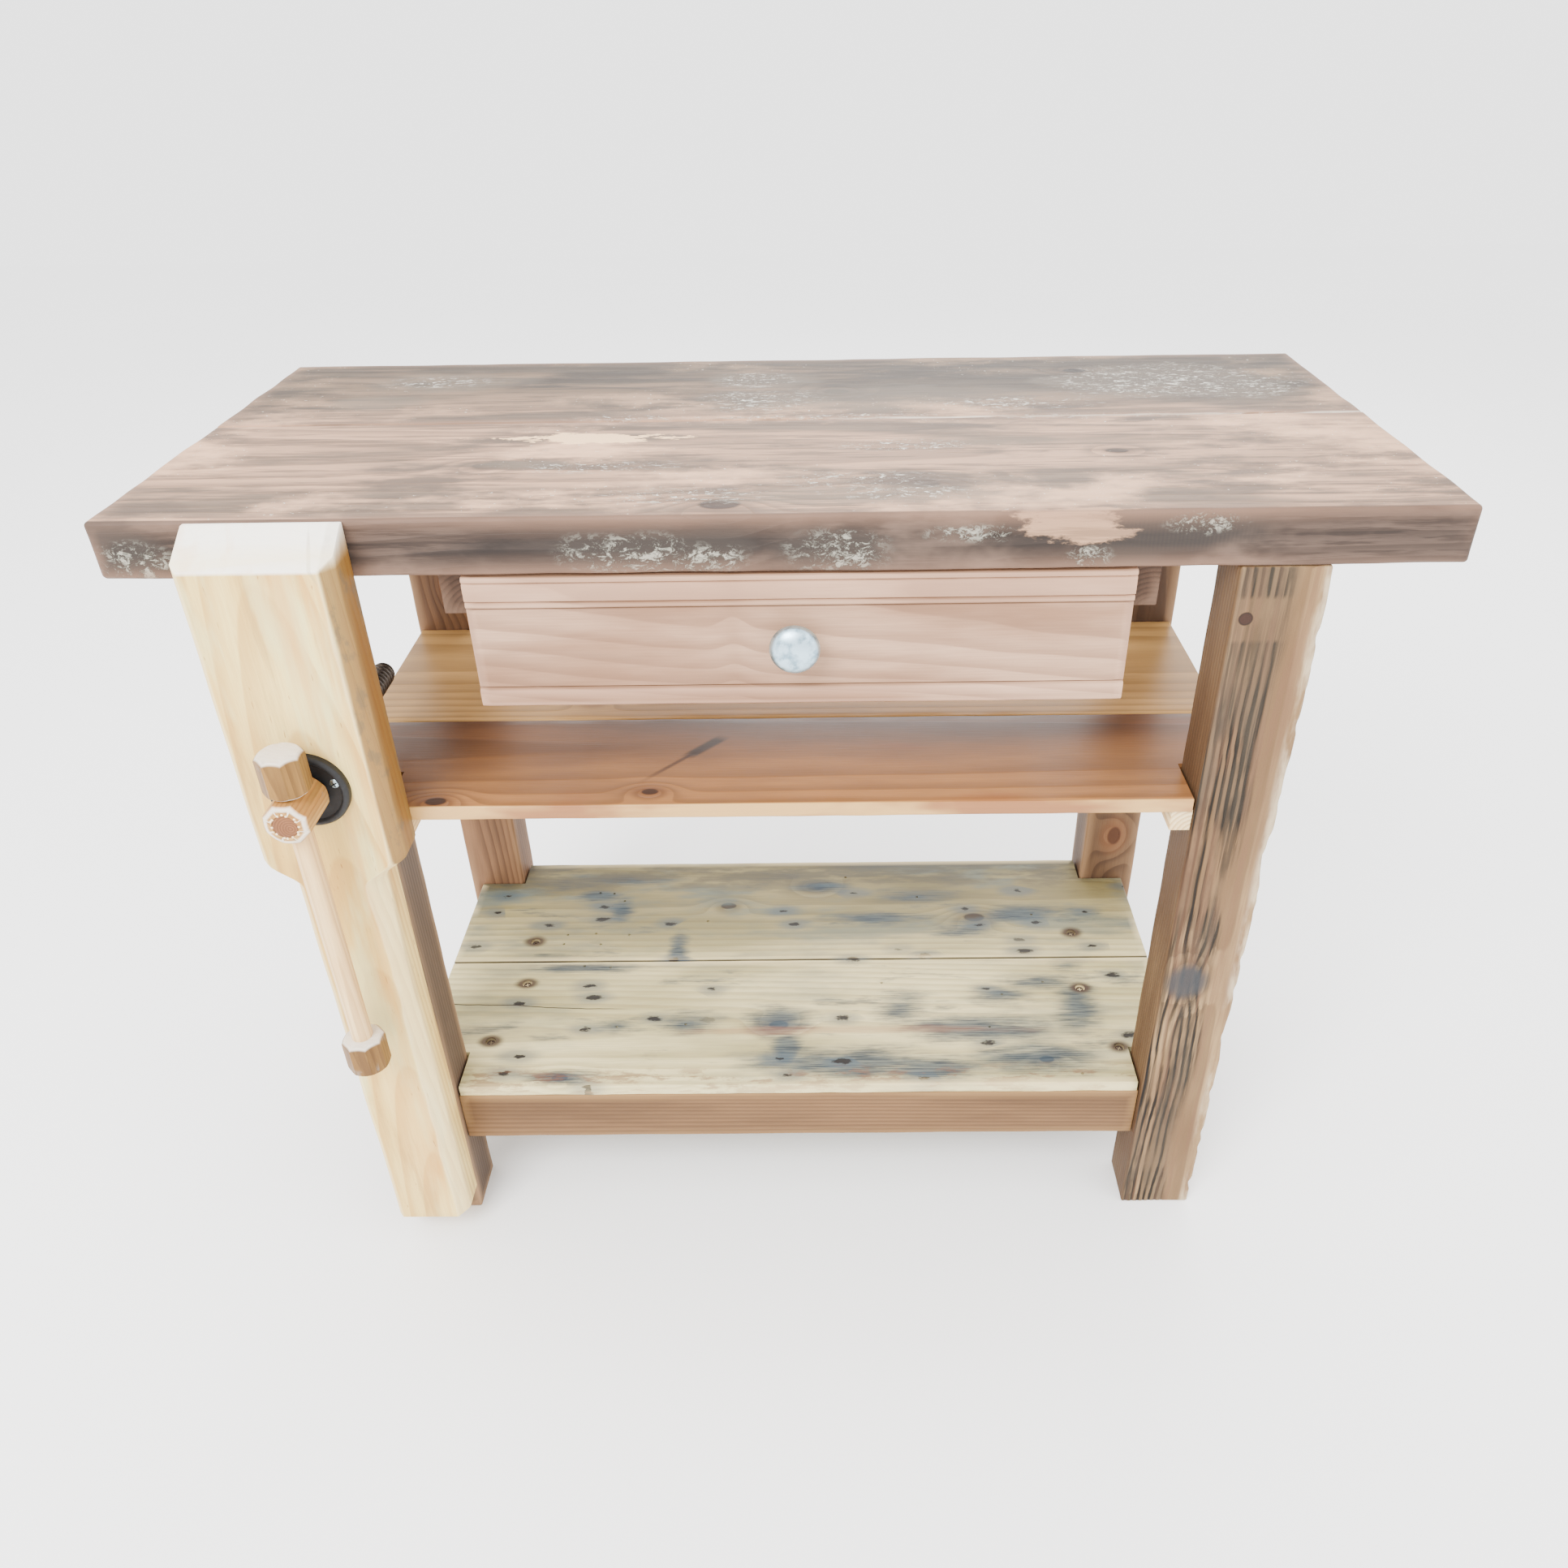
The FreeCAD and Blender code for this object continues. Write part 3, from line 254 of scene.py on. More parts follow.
class Timber:
    """Growth rings cut at a slight angle, fibres and knots, for a board whose grain runs along one axis."""

    def __init__(self, name, node, grain, pith=(0.05, -0.09), lean=(0.02, 0.02), ring=7 * MM, warp=10 * MM,
                 knots=(), seed=0.0):
        self.g = g = Graph(name)
        centre = middle(node)
        raw = g.object_axes()
        self.axes = [g.math("SUBTRACT", raw[i], centre[i]) for i in GRAIN_ORDER[grain]]
        self.raw = raw
        along, across, up = self.axes
        self.blotch = g.stretched(self.axes, (3.0, 14.0, 14.0), seed + 3.1, detail=4.0, rough=0.55)
        drift = g.stretched(self.axes, (2.2, 9.0, 9.0), seed, detail=3.0, rough=0.5)
        drift = g.times(g.math("SUBTRACT", drift, 0.5), warp * 2)
        self.knot_mask = 0.0
        self.knot_halo = 0.0
        cores, halos = [], []
        bend = 0.0
        for place, side, size in knots:
            du = g.times(g.math("SUBTRACT", along, place), 0.62)
            dv = g.math("SUBTRACT", across, side)
            reach = g.length(du, dv)
            near = g.math("POWER", g.math("DIVIDE", reach, size * 2.4), 2.0)
            pull = g.math("EXPONENT", g.times(near, -1.0))
            bend = g.math("ADD", bend, g.times(pull, size * 2.2))
            ragged = g.math("ADD", reach, g.times(g.math("SUBTRACT", self.blotch, 0.5), size * 0.5))
            cores.append(g.band(ragged, size, size * 0.72))
            halos.append(g.band(reach, size * 2.6, size * 0.9))
        if knots:
            self.knot_mask = g.most(cores)
            self.knot_halo = g.most(halos)
        u = g.add(across, g.times(along, lean[0]), drift, -pith[0])
        v = g.add(up, g.times(along, lean[1]), -pith[1])
        reach = g.add(g.length(u, v), bend)
        turn = g.math("FRACT", g.math("DIVIDE", reach, ring))
        rise = g.band(turn, 0.25, 0.9)
        fall = g.band(turn, 1.0, 0.93)
        self.late = g.times(rise, fall)
        self.fibre = g.stretched(self.axes, (22.0, 700.0, 700.0), seed + 7.7, detail=3.0, rough=0.6)
        self.fleck = g.stretched(self.axes, (60.0, 1500.0, 1500.0), seed + 1.3, detail=2.0, rough=0.6)
        self.edge = g.attribute("edge")

    def colour(self, light, dark, late, late_share=0.55, blotch_range=(0.35, 0.68), knot="#4a2c1c",
               halo="#8a5a38"):
        """Early wood between two tones in blotches, with darker late wood, fibres and knots."""
        g = self.g
        base = g.mix(g.band(self.blotch, *blotch_range), tone(light), tone(dark))
        base = g.mix(g.times(self.late, late_share), base, tone(late))
        streak = g.band(self.fibre, 0.30, 0.72)
        base = g.mix(g.times(g.math("SUBTRACT", 1.0, streak), 0.22), base, tone(late))
        if not isinstance(self.knot_mask, float):
            base = g.mix(g.times(self.knot_halo, 0.45), base, tone(halo))
            base = g.mix(g.times(self.knot_mask, 0.9), base, tone(knot))
        return base

    def finish(self, colour, rough=(0.5, 0.72), depth=0.35 * MM, extra_height=None, shine=0.18):
        """Roughness and bump from the same fibres and rings, and the material."""
        g = self.g
        height = g.add(g.times(self.late, 0.5), g.times(self.fibre, 0.7), g.times(self.fleck, 0.25))
        if not isinstance(self.knot_mask, float):
            height = g.add(height, g.times(self.knot_mask, 0.4))
        if extra_height is not None:
            height = g.add(height, extra_height)
        g.bump(height, depth)
        spread = g.add(g.times(self.fibre, rough[1] - rough[0]), rough[0])
        return g.finish(colour, spread, shine)


def plain_timber(name, node, grain, light, dark, late, late_share=0.5, rough=(0.5, 0.7), depth=0.3 * MM,
                 worn=None, **cut):
    """A board with no marks of its own beyond grain and knots; worn names the tone of its rubbed edges."""
    wood = Timber(name, node, grain, **cut)
    colour = wood.colour(light, dark, late, late_share)
    if worn:
        share = wood.g.times(wood.edge, wood.g.band(wood.blotch, 0.35, 0.6))
        colour = wood.g.mix(wood.g.times(share, 0.7), colour, tone(worn))
    return wood.finish(colour, rough, depth)


def worktop_material(node, pith, seed, knots):
    """Grey-brown weathered pine, sanded pink in places, with rubbed-in paint, filler and dark dirt."""
    wood = Timber("Weathered worktop " + node, node, "x", pith=pith, lean=(0.035, 0.02), ring=9 * MM,
                  warp=16 * MM, knots=knots, seed=seed)
    g = wood.g
    x, y, z = wood.raw
    colour = wood.colour("#b48d70", "#75604f", "#4d3d32", 0.46, (0.42, 0.56), "#281913", "#543b2d")
    streak = g.stretched((x, y, z), (7.0, 150.0, 150.0), seed + 2, detail=4.0, rough=0.7)
    colour = g.mix(g.times(g.band(streak, 0.50, 0.60), 0.60), colour, tone("#503f33"))
    cloud = g.stretched((x, y, z), (5.0, 9.0, 9.0), seed + 20, detail=5.0, rough=0.62)
    colour = g.mix(g.times(g.band(cloud, 0.50, 0.66), 0.70), colour, tone("#dcae8a"))
    dirt = g.stretched((x, y, z), (6.0, 22.0, 22.0), seed + 31, detail=5.0, rough=0.65)
    colour = g.mix(g.times(g.band(dirt, 0.50, 0.66), 0.85), colour, tone("#544439"))
    rear = g.band(y, 0.02, 0.20)
    colour = g.mix(g.times(rear, 0.85), colour, tone("#949a98"), "MULTIPLY")
    crumbs = g.stretched((x, y, z), (95.0, 210.0, 150.0), seed + 5, detail=6.0, rough=0.85, twist=0.6)
    speck = g.stretched((x, y, z), (190.0, 260.0, 260.0), seed + 9, detail=3.0, rough=0.7)
    on_front = g.band(y, FRONT + 5 * MM, FRONT + 3 * MM)
    on_top = g.math("SUBTRACT", 1.0, on_front)
    colour = g.mix(on_front, colour, tone("#767c89"), "MULTIPLY")
    rag = g.times(g.math("SUBTRACT", cloud, 0.5), 3.2)
    grey = g.most([g.spot(x, y, c, r, rag) for c, r in WORKTOP_GREY])
    colour = g.mix(g.times(g.times(grey, on_top), 0.55), colour, tone("#65594c"))
    paint = g.most([g.spot(x, y, c, r, rag, 0.6) for c, r in WORKTOP_PAINT])
    flakes = g.times(paint, g.band(crumbs, 0.545, 0.59))
    stray = g.times(g.band(speck, 0.66, 0.70), g.band(cloud, 0.47, 0.58))
    flakes = g.times(g.most([flakes, stray]), on_top)
    seam = BOX[node][1].y if "back" not in node else BOX[node][0].y
    pale_line = g.times(g.band(g.math("ABSOLUTE", g.math("SUBTRACT", y, seam)), 4 * MM, 1 * MM),
                        g.times(g.band(x, -0.02, 0.10), g.band(streak, 0.38, 0.50)))
    flakes = g.most([flakes, g.times(g.times(pale_line, on_top), 0.8)])
    colour = g.mix(g.times(flakes, 0.92), colour, tone("#e6e1d4"))
    rough_edge = g.stretched((x, y, z), (26.0, 70.0, 70.0), seed + 15, detail=5.0, rough=0.7)
    splash = g.spot(g.add(x, g.times(y, 1.4)), y, (-0.165, 0.014), (0.062, 0.013),
                    g.times(g.math("SUBTRACT", rough_edge, 0.5), 4.5), 0.12)
    colour = g.mix(g.times(g.times(splash, on_top), 0.9), colour, tone("#f1c797"))
    front_grey = g.most([g.spot(x, z, c, r, rag) for c, r in EDGE_GREY])
    colour = g.mix(g.times(g.times(front_grey, on_front), 0.80), colour, tone("#332d29"))
    front_paint = g.most([g.spot(x, z, c, r, rag, 0.5) for c, r in EDGE_PAINT])
    front_flakes = g.times(g.times(front_paint, g.band(crumbs, 0.50, 0.57)), on_front)
    colour = g.mix(g.times(front_flakes, 0.85), colour, tone("#9a978a"))
    saw = g.node("ShaderNodeTexWave", wave_type="BANDS", bands_direction="X")
    saw.inputs["Scale"].default_value = 95.0
    saw.inputs["Distortion"].default_value = 1.5
    g.links.new(g.vector(x, y, z), saw.inputs["Vector"])
    sawn = g.times(g.spot(x, z, (0.335, TOP - 16 * MM), (0.055, 0.022), rag), on_front)
    colour = g.mix(g.times(g.times(sawn, saw.outputs["Fac"]), 0.35), colour, tone("#282424"))
    ragged = g.times(g.math("SUBTRACT", rough_edge, 0.5), 2.4)
    filler = g.spot(g.add(x, g.times(z, 1.1)), z, (BRUISE - 5 * MM + 1.1 * (TOP - 11 * MM), TOP - 11 * MM),
                    (0.040, 0.019), ragged, 0.16)
    filler_top = g.spot(x, y, (BRUISE, FRONT), (0.042, 0.009), ragged, 0.15)
    filled = g.most([g.times(filler, on_front), g.times(filler_top, on_top)])
    filler_grain = g.add(0.55, g.times(g.band(streak, 0.62, 0.46), 0.30))
    colour = g.mix(g.times(filled, filler_grain), colour, tone("#b08a6c"))
    rubbed = g.times(wood.edge, g.band(wood.blotch, 0.3, 0.6))
    colour = g.mix(g.times(rubbed, 0.45), colour, tone("#9a7660"))
    lift = g.add(g.times(flakes, 0.5), g.times(front_flakes, 0.6), g.times(filled, 0.5))
    return wood.finish(colour, (0.42, 0.70), 0.5 * MM, lift)


WORKTOP_GREY = [((-0.38, 0.21), (0.07, 0.03)), ((-0.43, 0.14), (0.05, 0.025)), ((0.08, 0.13), (0.16, 0.045)),
                ((0.42, 0.18), (0.10, 0.05)), ((-0.03, 0.21), (0.05, 0.03)), ((-0.23, -0.06), (0.05, 0.012)),
                ((0.10, -0.15), (0.16, 0.02)), ((0.29, 0.19), (0.03, 0.015))]
WORKTOP_PAINT = [((-0.381, 0.216), (0.045, 0.016)), ((-0.035, 0.215), (0.030, 0.024)),
                 ((-0.025, 0.125), (0.050, 0.034)), ((-0.15, 0.077), (0.050, 0.008)),
                 ((0.025, 0.074), (0.13, 0.007)), ((0.286, 0.066), (0.10, 0.006)),
                 ((0.43, 0.185), (0.10, 0.045)),
                 ((-0.165, -0.068), (0.055, 0.014)), ((0.114, -0.019), (0.045, 0.012)),
                 ((0.06, -0.11), (0.05, 0.016)), ((-0.09, -0.145), (0.06, 0.018)),
                 ((0.10, -0.145), (0.05, 0.013)),
                 ((0.20, 0.11), (0.07, 0.02))]
EDGE_GREY = [((-0.09, TOP - 32 * MM), (0.07, 0.022)), ((0.05, TOP - 30 * MM), (0.06, 0.022)),
             ((0.335, TOP - 17 * MM), (0.06, 0.020)), ((-0.54, TOP - 25 * MM), (0.035, 0.03)),
             ((0.28, TOP - 38 * MM), (0.03, 0.010))]
EDGE_PAINT = [((-0.115, TOP - 34 * MM), (0.045, 0.016)), ((-0.06, TOP - 38 * MM), (0.03, 0.010)),
              ((0.052, TOP - 32 * MM), (0.04, 0.020)), ((0.15, TOP - 18 * MM), (0.035, 0.008)),
              ((0.345, TOP - 12 * MM), (0.025, 0.008)), ((-0.525, TOP - 34 * MM), (0.025, 0.014)),
              ((0.25, TOP - 40 * MM), (0.015, 0.008))]


def right_leg_material():
    """Ridged weathered grain on the front, grey-black in the hollows, sanded pink on the outer side."""
    node = "front_right_leg"
    low, high = BOX[node]
    wood = Timber("Weathered right leg", node, "z", pith=(0.0, 0.10), lean=(0.012, 0.0), ring=6 * MM,
                  warp=5 * MM, knots=((-0.065, -0.013, 0.009),), seed=40)
    g = wood.g
    x, y, z = wood.raw
    colour = wood.colour("#987c58", "#775c40", "#594129", 0.55, (0.4, 0.62), "#1a1410", "#443325")
    groove = g.attribute("ridge")
    colour = g.mix(g.times(g.band(groove, 0.04, 0.55), 1.0), colour, tone("#17120d"))
    lines = g.stretched((x, y, z), (300.0, 30.0, 7.0), 52.0, detail=4.0, rough=0.65)
    patch = g.band(g.stretched((x, y, z), (26.0, 20.0, 9.0), 53.0, detail=4.0, rough=0.6), 0.36, 0.54)
    on_front = g.band(y, low.y + 6 * MM, low.y + 3 * MM)
    lines = g.times(g.times(g.band(lines, 0.56, 0.46), g.attribute("weather")), g.times(patch, on_front))
    colour = g.mix(g.times(lines, 0.95), colour, tone("#1c1610"))
    warm = g.stretched((x, y, z), (120.0, 30.0, 5.0), 54.0, detail=4.0, rough=0.6)
    colour = g.mix(g.times(g.times(g.band(warm, 0.48, 0.62), on_front), 0.5), colour, tone("#6b4d37"))
    inner = g.band(x, low.x + 3 * MM, low.x + 1 * MM)
    colour = g.mix(g.times(inner, 0.8), colour, tone("#a89a92"), "MULTIPLY")
    grey = g.stretched(wood.axes, (4.0, 26.0, 10.0), 51.0, detail=4.0, rough=0.6)
    grey = g.times(g.band(grey, 0.42, 0.58), g.attribute("weather"))
    colour = g.mix(g.times(grey, 0.62), colour, tone("#41392f"))
    blue = g.spot(x, z, (low.x + LEG_KNOT[0], LEG_KNOT[1]), (0.017, 0.020),
                  g.times(g.math("SUBTRACT", grey, 0.5), 0.4))
    colour = g.mix(g.times(blue, 0.8), colour, tone("#35373a"))
    scraped = g.stretched(wood.axes, (9.0, 40.0, 40.0), 61.0, detail=4.0, rough=0.6)
    bark = g.times(g.band(x, high.x - 13 * MM, high.x - 5 * MM), g.band(scraped, 0.44, 0.60))
    colour = g.mix(g.times(bark, 0.6), colour, tone("#ccba9b"))
    plug_centre = (low.x + LEG_PLUG[0], LEG_PLUG[1])
    plug = g.spot(x, z, plug_centre, (6 * MM, 6 * MM), 0.0, 0.12)
    plug_core = g.spot(x, z, plug_centre, (4.8 * MM, 4.8 * MM), 0.0, 0.12)
    plug_line = g.times(plug, g.math("SUBTRACT", 1.0, plug_core))
    colour = g.mix(plug, colour, tone("#33211a"))
    colour = g.mix(g.times(plug_line, 0.8), colour, tone("#261c15"))
    return wood.finish(colour, (0.5, 0.78), 0.55 * MM)


def lower_shelf_material(node, pith, seed, knots, stains, rings, crack=False):
    """Pale sanded boards with blue-black iron stains, dark nail holes and rough, light edges."""
    wood = Timber("Stained shelf " + node, node, "x", pith=pith, lean=(0.02, 0.01), ring=7.5 * MM,
                  warp=7 * MM, knots=knots, seed=seed)
    g = wood.g
    x, y, z = wood.raw
    colour = wood.colour("#d5c997", "#a79e71", "#7c6d43", 0.34, (0.36, 0.66), "#38251a", "#6b5635")
    rear = g.band(y, -0.03, 0.17)
    colour = g.mix(g.times(rear, 0.95), colour, tone("#a19d90"), "MULTIPLY")
    cloud = g.stretched((x, y, z), (8.0, 34.0, 34.0), seed + 14, detail=5.0, rough=0.62)
    rag = g.times(g.math("SUBTRACT", cloud, 0.5), 3.6)
    ink = g.most([g.spot(x, y, c, r, rag, 0.75) for c, r in stains])
    wash = g.stretched((x, y, z), (5.0, 17.0, 17.0), seed + 44, detail=4.0, rough=0.6)
    wash_share = g.add(0.30, g.times(g.band(y, -0.02, 0.16), 0.40))
    colour = g.mix(g.times(g.band(wash, 0.50, 0.66), wash_share), colour, tone("#55625f"))
    loose = g.times(g.band(cloud, 0.57, 0.70), 0.6)
    ink = g.most([ink, loose])
    colour = g.mix(g.times(ink, 0.82), colour, tone("#374852"))
    dark = g.times(ink, g.band(wood.fibre, 0.56, 0.40))
    colour = g.mix(g.times(dark, 0.72), colour, tone("#141f2b"))
    seam = (BOX["lower_shelf_front_board"][1].y + BOX["lower_shelf_back_board"][0].y) / 2
    slit = g.band(g.math("ABSOLUTE", g.math("SUBTRACT", y, seam)), 2.4 * MM, 0.9 * MM)
    colour = g.mix(g.times(slit, 0.85), colour, tone("#2a2219"))
    cells = g.node("ShaderNodeTexVoronoi", voronoi_dimensions="2D")
    g.links.new(g.vector(g.times(x, 13.0), g.times(y, 27.0), 0.0), cells.inputs["Vector"])
    cells.inputs["Scale"].default_value = 1.0
    pick = g.node("ShaderNodeSeparateColor")
    g.links.new(cells.outputs["Color"], pick.inputs[0])
    chosen = g.band(pick.outputs[0], 0.60, 0.64)
    heavy = g.add(0.45, g.times(pick.outputs[1], 0.9))
    blur = g.add(cells.outputs["Distance"], g.times(g.math("SUBTRACT", cloud, 0.5), 0.5))
    halo = g.times(g.times(g.band(blur, 0.42, 0.10), chosen), 0.55)
    colour = g.mix(halo, colour, tone("#3f4f5a"))
    fine = g.stretched((x, y, z), (90.0, 200.0, 90.0), seed + 3, detail=4.0, rough=0.7)
    mark = g.add(cells.outputs["Distance"], g.times(g.math("SUBTRACT", fine, 0.5), 0.34))
    nick = g.times(g.band(g.math("DIVIDE", mark, heavy), 0.12, 0.06), chosen)
    colour = g.mix(g.times(nick, 0.95), colour, tone("#1a1512"))
    blush = g.times(g.spot(x, y, (0.02, -0.100), (0.16, 0.006), rag, 0.5), 0.38)
    colour = g.mix(blush, colour, tone("#8d5b3c"))
    # darker blotches along the back strip of the shelf
    rear_blotches = g.times(g.band(y, 0.125, 0.20), g.band(cloud, 0.44, 0.58))
    colour = g.mix(g.times(rear_blotches, 0.75), colour, tone("#4a4436"))
    lip = g.stretched((x, y, z), (22.0, 80.0, 80.0), seed + 61, detail=5.0, rough=0.7)
    lip = g.times(g.band(y, FRONT + 46 * MM, FRONT + 22 * MM), g.band(lip, 0.50, 0.60))
    colour = g.mix(g.times(lip, 0.6), colour, tone("#6d4630"))
    sunk = g.most([g.spot(x, y, spot, (13 * MM, 9.5 * MM), g.times(rag, 0.25), 0.4) for spot in rings])
    colour = g.mix(g.times(sunk, 0.9), colour, tone("#38251d"))
    height = g.times(nick, -0.8)
    if crack:
        wander = g.stretched((x, y, z), (14.0, 3.0, 3.0), 77, detail=3.0)
        wobble = g.times(g.math("SUBTRACT", wander, 0.5), 9 * MM)
        line = g.math("ABSOLUTE", g.math("SUBTRACT", g.add(y, wobble, g.times(x, 0.05)), -0.072))
        split = g.times(g.band(line, 0.9 * MM, 0.3 * MM), g.band(x, -0.19, -0.24))
        colour = g.mix(split, colour, tone("#2b2118"))
        height = g.add(height, g.times(split, -2.0))
    worn = g.times(wood.edge, g.band(wood.blotch, 0.35, 0.6))
    colour = g.mix(g.times(g.times(worn, g.math("SUBTRACT", 1.0, slit)), 0.7), colour, tone("#ebd8a4"))
    return wood.finish(colour, (0.36, 0.62), 0.3 * MM, height)


def orange_shelf_material():
    """Waxed orange pine with one long dark knot and tight, straight grain."""
    node = "middle_shelf_front_board"
    wood = Timber("Waxed orange shelf", node, "x", pith=(0.02, -0.30), lean=(0.01, 0.004), ring=5.2 * MM,
                  warp=5 * MM, knots=((-0.131, -0.057, 0.006), (-0.33, -0.07, 0.007)), seed=11)
    g = wood.g
    x, y, z = wood.raw
    colour = wood.colour("#a26f41", "#7e5534", "#5f3e25", 0.5, (0.34, 0.68), "#23110b", "#5c341d")
    slant = g.add(g.math("SUBTRACT", x, -0.085), g.times(g.math("SUBTRACT", y, -0.09), -0.9))
    width = g.math("ABSOLUTE", slant)
    oval = g.spot(x, y, (-0.083, -0.092), (0.026, 0.021), g.math("SUBTRACT", wood.blotch, 0.5))
    spike = g.times(g.band(width, 11 * MM, 5 * MM), oval)
    colour = g.mix(g.times(spike, 0.85), colour, tone("#1a100e"))
    trail = g.times(g.band(width, 5 * MM, 1 * MM), g.spot(x, y, (-0.105, -0.118), (0.040, 0.034), 0.0, 0.6))
    colour = g.mix(g.times(trail, 0.75), colour, tone("#2c1710"))
    # painted shade: the shelf is darkened towards the back, where it lies in shadow under the drawer
    deep = g.band(y, FRONT + 40 * MM, FRONT + 135 * MM)
    colour = g.mix(g.times(deep, 0.9), colour, tone("#b3aaa6"), "MULTIPLY")
    red = g.stretched((x, y, z), (7.0, 22.0, 22.0), 31.0, detail=3.0)
    colour = g.mix(g.times(g.band(red, 0.55, 0.75), 0.45), colour, tone("#80492a"))
    nose = g.band(y, FRONT + 2.5 * MM, FRONT + 1.0 * MM)
    nose_tone = g.mix(g.band(red, 0.42, 0.62), tone("#c89e5f"), tone("#916038"))
    colour = g.mix(g.times(nose, 0.85), colour, nose_tone)
    return wood.finish(colour, (0.24, 0.42), 0.18 * MM, shine=0.35)


def chop_material():
    """Bare new pine: cream with soft flames, fine resin flecks, chamfer edges lightened as a painted
    highlight, a right chamfer darkened as painted shade, and pale end grain painted near white as a painted
    highlight.
    """
    node = "vise_chop"
    wood = Timber("New pine chop", node, "z", pith=(0.012, -0.12), lean=(0.03, 0.06), ring=8 * MM,
                  warp=7 * MM, seed=61)
    g = wood.g
    x, y, z = wood.raw
    colour = wood.colour("#ead086", "#d6b264", "#b98a45", 0.50, (0.35, 0.65))
    smears = g.stretched((x, y, z), (55.0, 40.0, 5.0), 62.0, detail=5.0, rough=0.62)
    colour = g.mix(g.times(g.band(smears, 0.50, 0.66), 0.55), colour, tone("#a98650"))
    chalk = g.stretched((x, y, z), (24.0, 30.0, 4.0), 63.0, detail=4.0, rough=0.6)
    colour = g.mix(g.times(g.band(chalk, 0.50, 0.64), 0.55), colour, tone("#dbd69d"))
    flame = g.stretched(wood.axes, (1.6, 20.0, 8.0), 90.0, detail=3.0, rough=0.5, twist=0.6)
    right = g.band(x, SCREW_AXIS.x - 30 * MM, SCREW_AXIS.x + 25 * MM)
    flames = g.times(g.band(flame, 0.48, 0.66), g.add(0.30, g.times(right, 0.60)))
    colour = g.mix(g.times(flames, 0.60), colour, tone("#ca8c3f"))
    pink = g.stretched((x, y, z), (30.0, 12.0, 9.0), 21.0, detail=3.0, twist=0.8)
    fleck = g.stretched(wood.axes, (55.0, 420.0, 420.0), 12.0, detail=1.0)
    colour = g.mix(g.times(g.band(fleck, 0.74, 0.78), 0.6), colour, tone("#8c5b2b"))
    # pale cut end grain on the bevelled top, brightened to near white as a painted highlight where the light
    # falls on it
    colour = g.mix(g.times(g.attribute("endgrain"), 0.85), colour, tone("#fdfaf2"))
    blushed = g.times(g.times(g.band(pink, 0.55, 0.70), g.attribute("endgrain")), 0.45)
    colour = g.mix(blushed, colour, tone("#eec9a8"))
    line = g.spot(g.add(x, g.times(z, 0.35)), z, (-0.370 + 0.35 * 0.83, 0.83), (0.0016, 0.016), 0.0, 0.3)
    pencil = g.times(line, g.band(y, BOX[node][1].y - 2 * MM, BOX[node][1].y - 5 * MM))
    colour = g.mix(g.times(pencil, 0.35), colour, tone("#9a8e74"))
    # painted highlight along the edges of the chamfers
    colour = g.mix(g.times(wood.edge, 0.45), colour, tone("#f7e2af"))
    # painted shade: the right chamfer, facing away from the light, is darkened, with darker patches for the
    # shade of its scallops
    far = BOX[node][1].x
    slope = g.band(x, far - vise().chamfer_right - 1 * MM, far - vise().chamfer_right + 2 * MM)
    slope = g.times(slope, g.math("SUBTRACT", 1.0, g.times(g.attribute("endgrain"), 0.8)))
    scallop_shading = g.stretched((x, y, z), (40.0, 40.0, 26.0), 64.0, detail=5.0, rough=0.65)
    colour = g.mix(g.times(slope, 0.95), colour, tone("#97866c"), "MULTIPLY")
    colour = g.mix(g.times(g.times(slope, g.band(scallop_shading, 0.52, 0.62)), 0.5), colour, tone("#5f5442"))
    return wood.finish(colour, (0.52, 0.70), 0.2 * MM)


def handle_material(name, node, grain, light, dark, late, seed):
    """Whittled pale wood, golden on its flats and nearly white where the end grain is cut."""
    wood = Timber(name, node, grain, pith=(0.006, 0.02), lean=(0.05, 0.03), ring=4 * MM, warp=4 * MM,
                  seed=seed)
    g = wood.g
    colour = wood.colour(light, dark, late, 0.45, (0.38, 0.62))
    cut = g.band(g.attribute("endgrain"), 0.52, 0.90)
    brown = g.stretched(wood.axes, (18.0, 160.0, 160.0), seed + 5, detail=4.0, rough=0.6)
    colour = g.mix(g.times(g.band(brown, 0.50, 0.64), 0.5), colour, tone("#80602f"))
    colour = g.mix(g.times(cut, 0.72), colour, tone("#ece2d2"))
    grime = g.stretched(wood.axes, (30.0, 60.0, 60.0), seed + 2, detail=4.0, rough=0.65)
    colour = g.mix(g.times(g.band(grime, 0.60, 0.74), 0.4), colour, tone("#8f8a84"))
    return wood.finish(colour, (0.38, 0.58), 0.2 * MM)


def metal_material(name, base, worn, rough, metallic=1.0, wear=0.5, scale=220.0, depth=0.08 * MM):
    """Metal or paint on metal: two tones in fine blotches, scuffs, and worn edges."""
    g = Graph(name)
    axes = g.object_axes()
    patch = g.stretched(axes, (scale, scale, scale), 4.0, detail=5.0, rough=0.6)
    scuff = g.stretched(axes, (scale * 0.35, scale * 4, scale * 2), 9.0, detail=3.0, rough=0.6)
    colour = g.mix(g.times(g.band(patch, 0.45, 0.68), wear), tone(base), tone(worn))
    colour = g.mix(g.times(g.attribute("edge"), 0.5), colour, tone(worn))
    g.bump(g.add(g.times(patch, 0.6), g.times(scuff, 0.4)), depth)
    g.shader.inputs["Metallic"].default_value = metallic
    return g.finish(colour, g.add(g.times(scuff, rough[1] - rough[0]), rough[0]), 0.4)


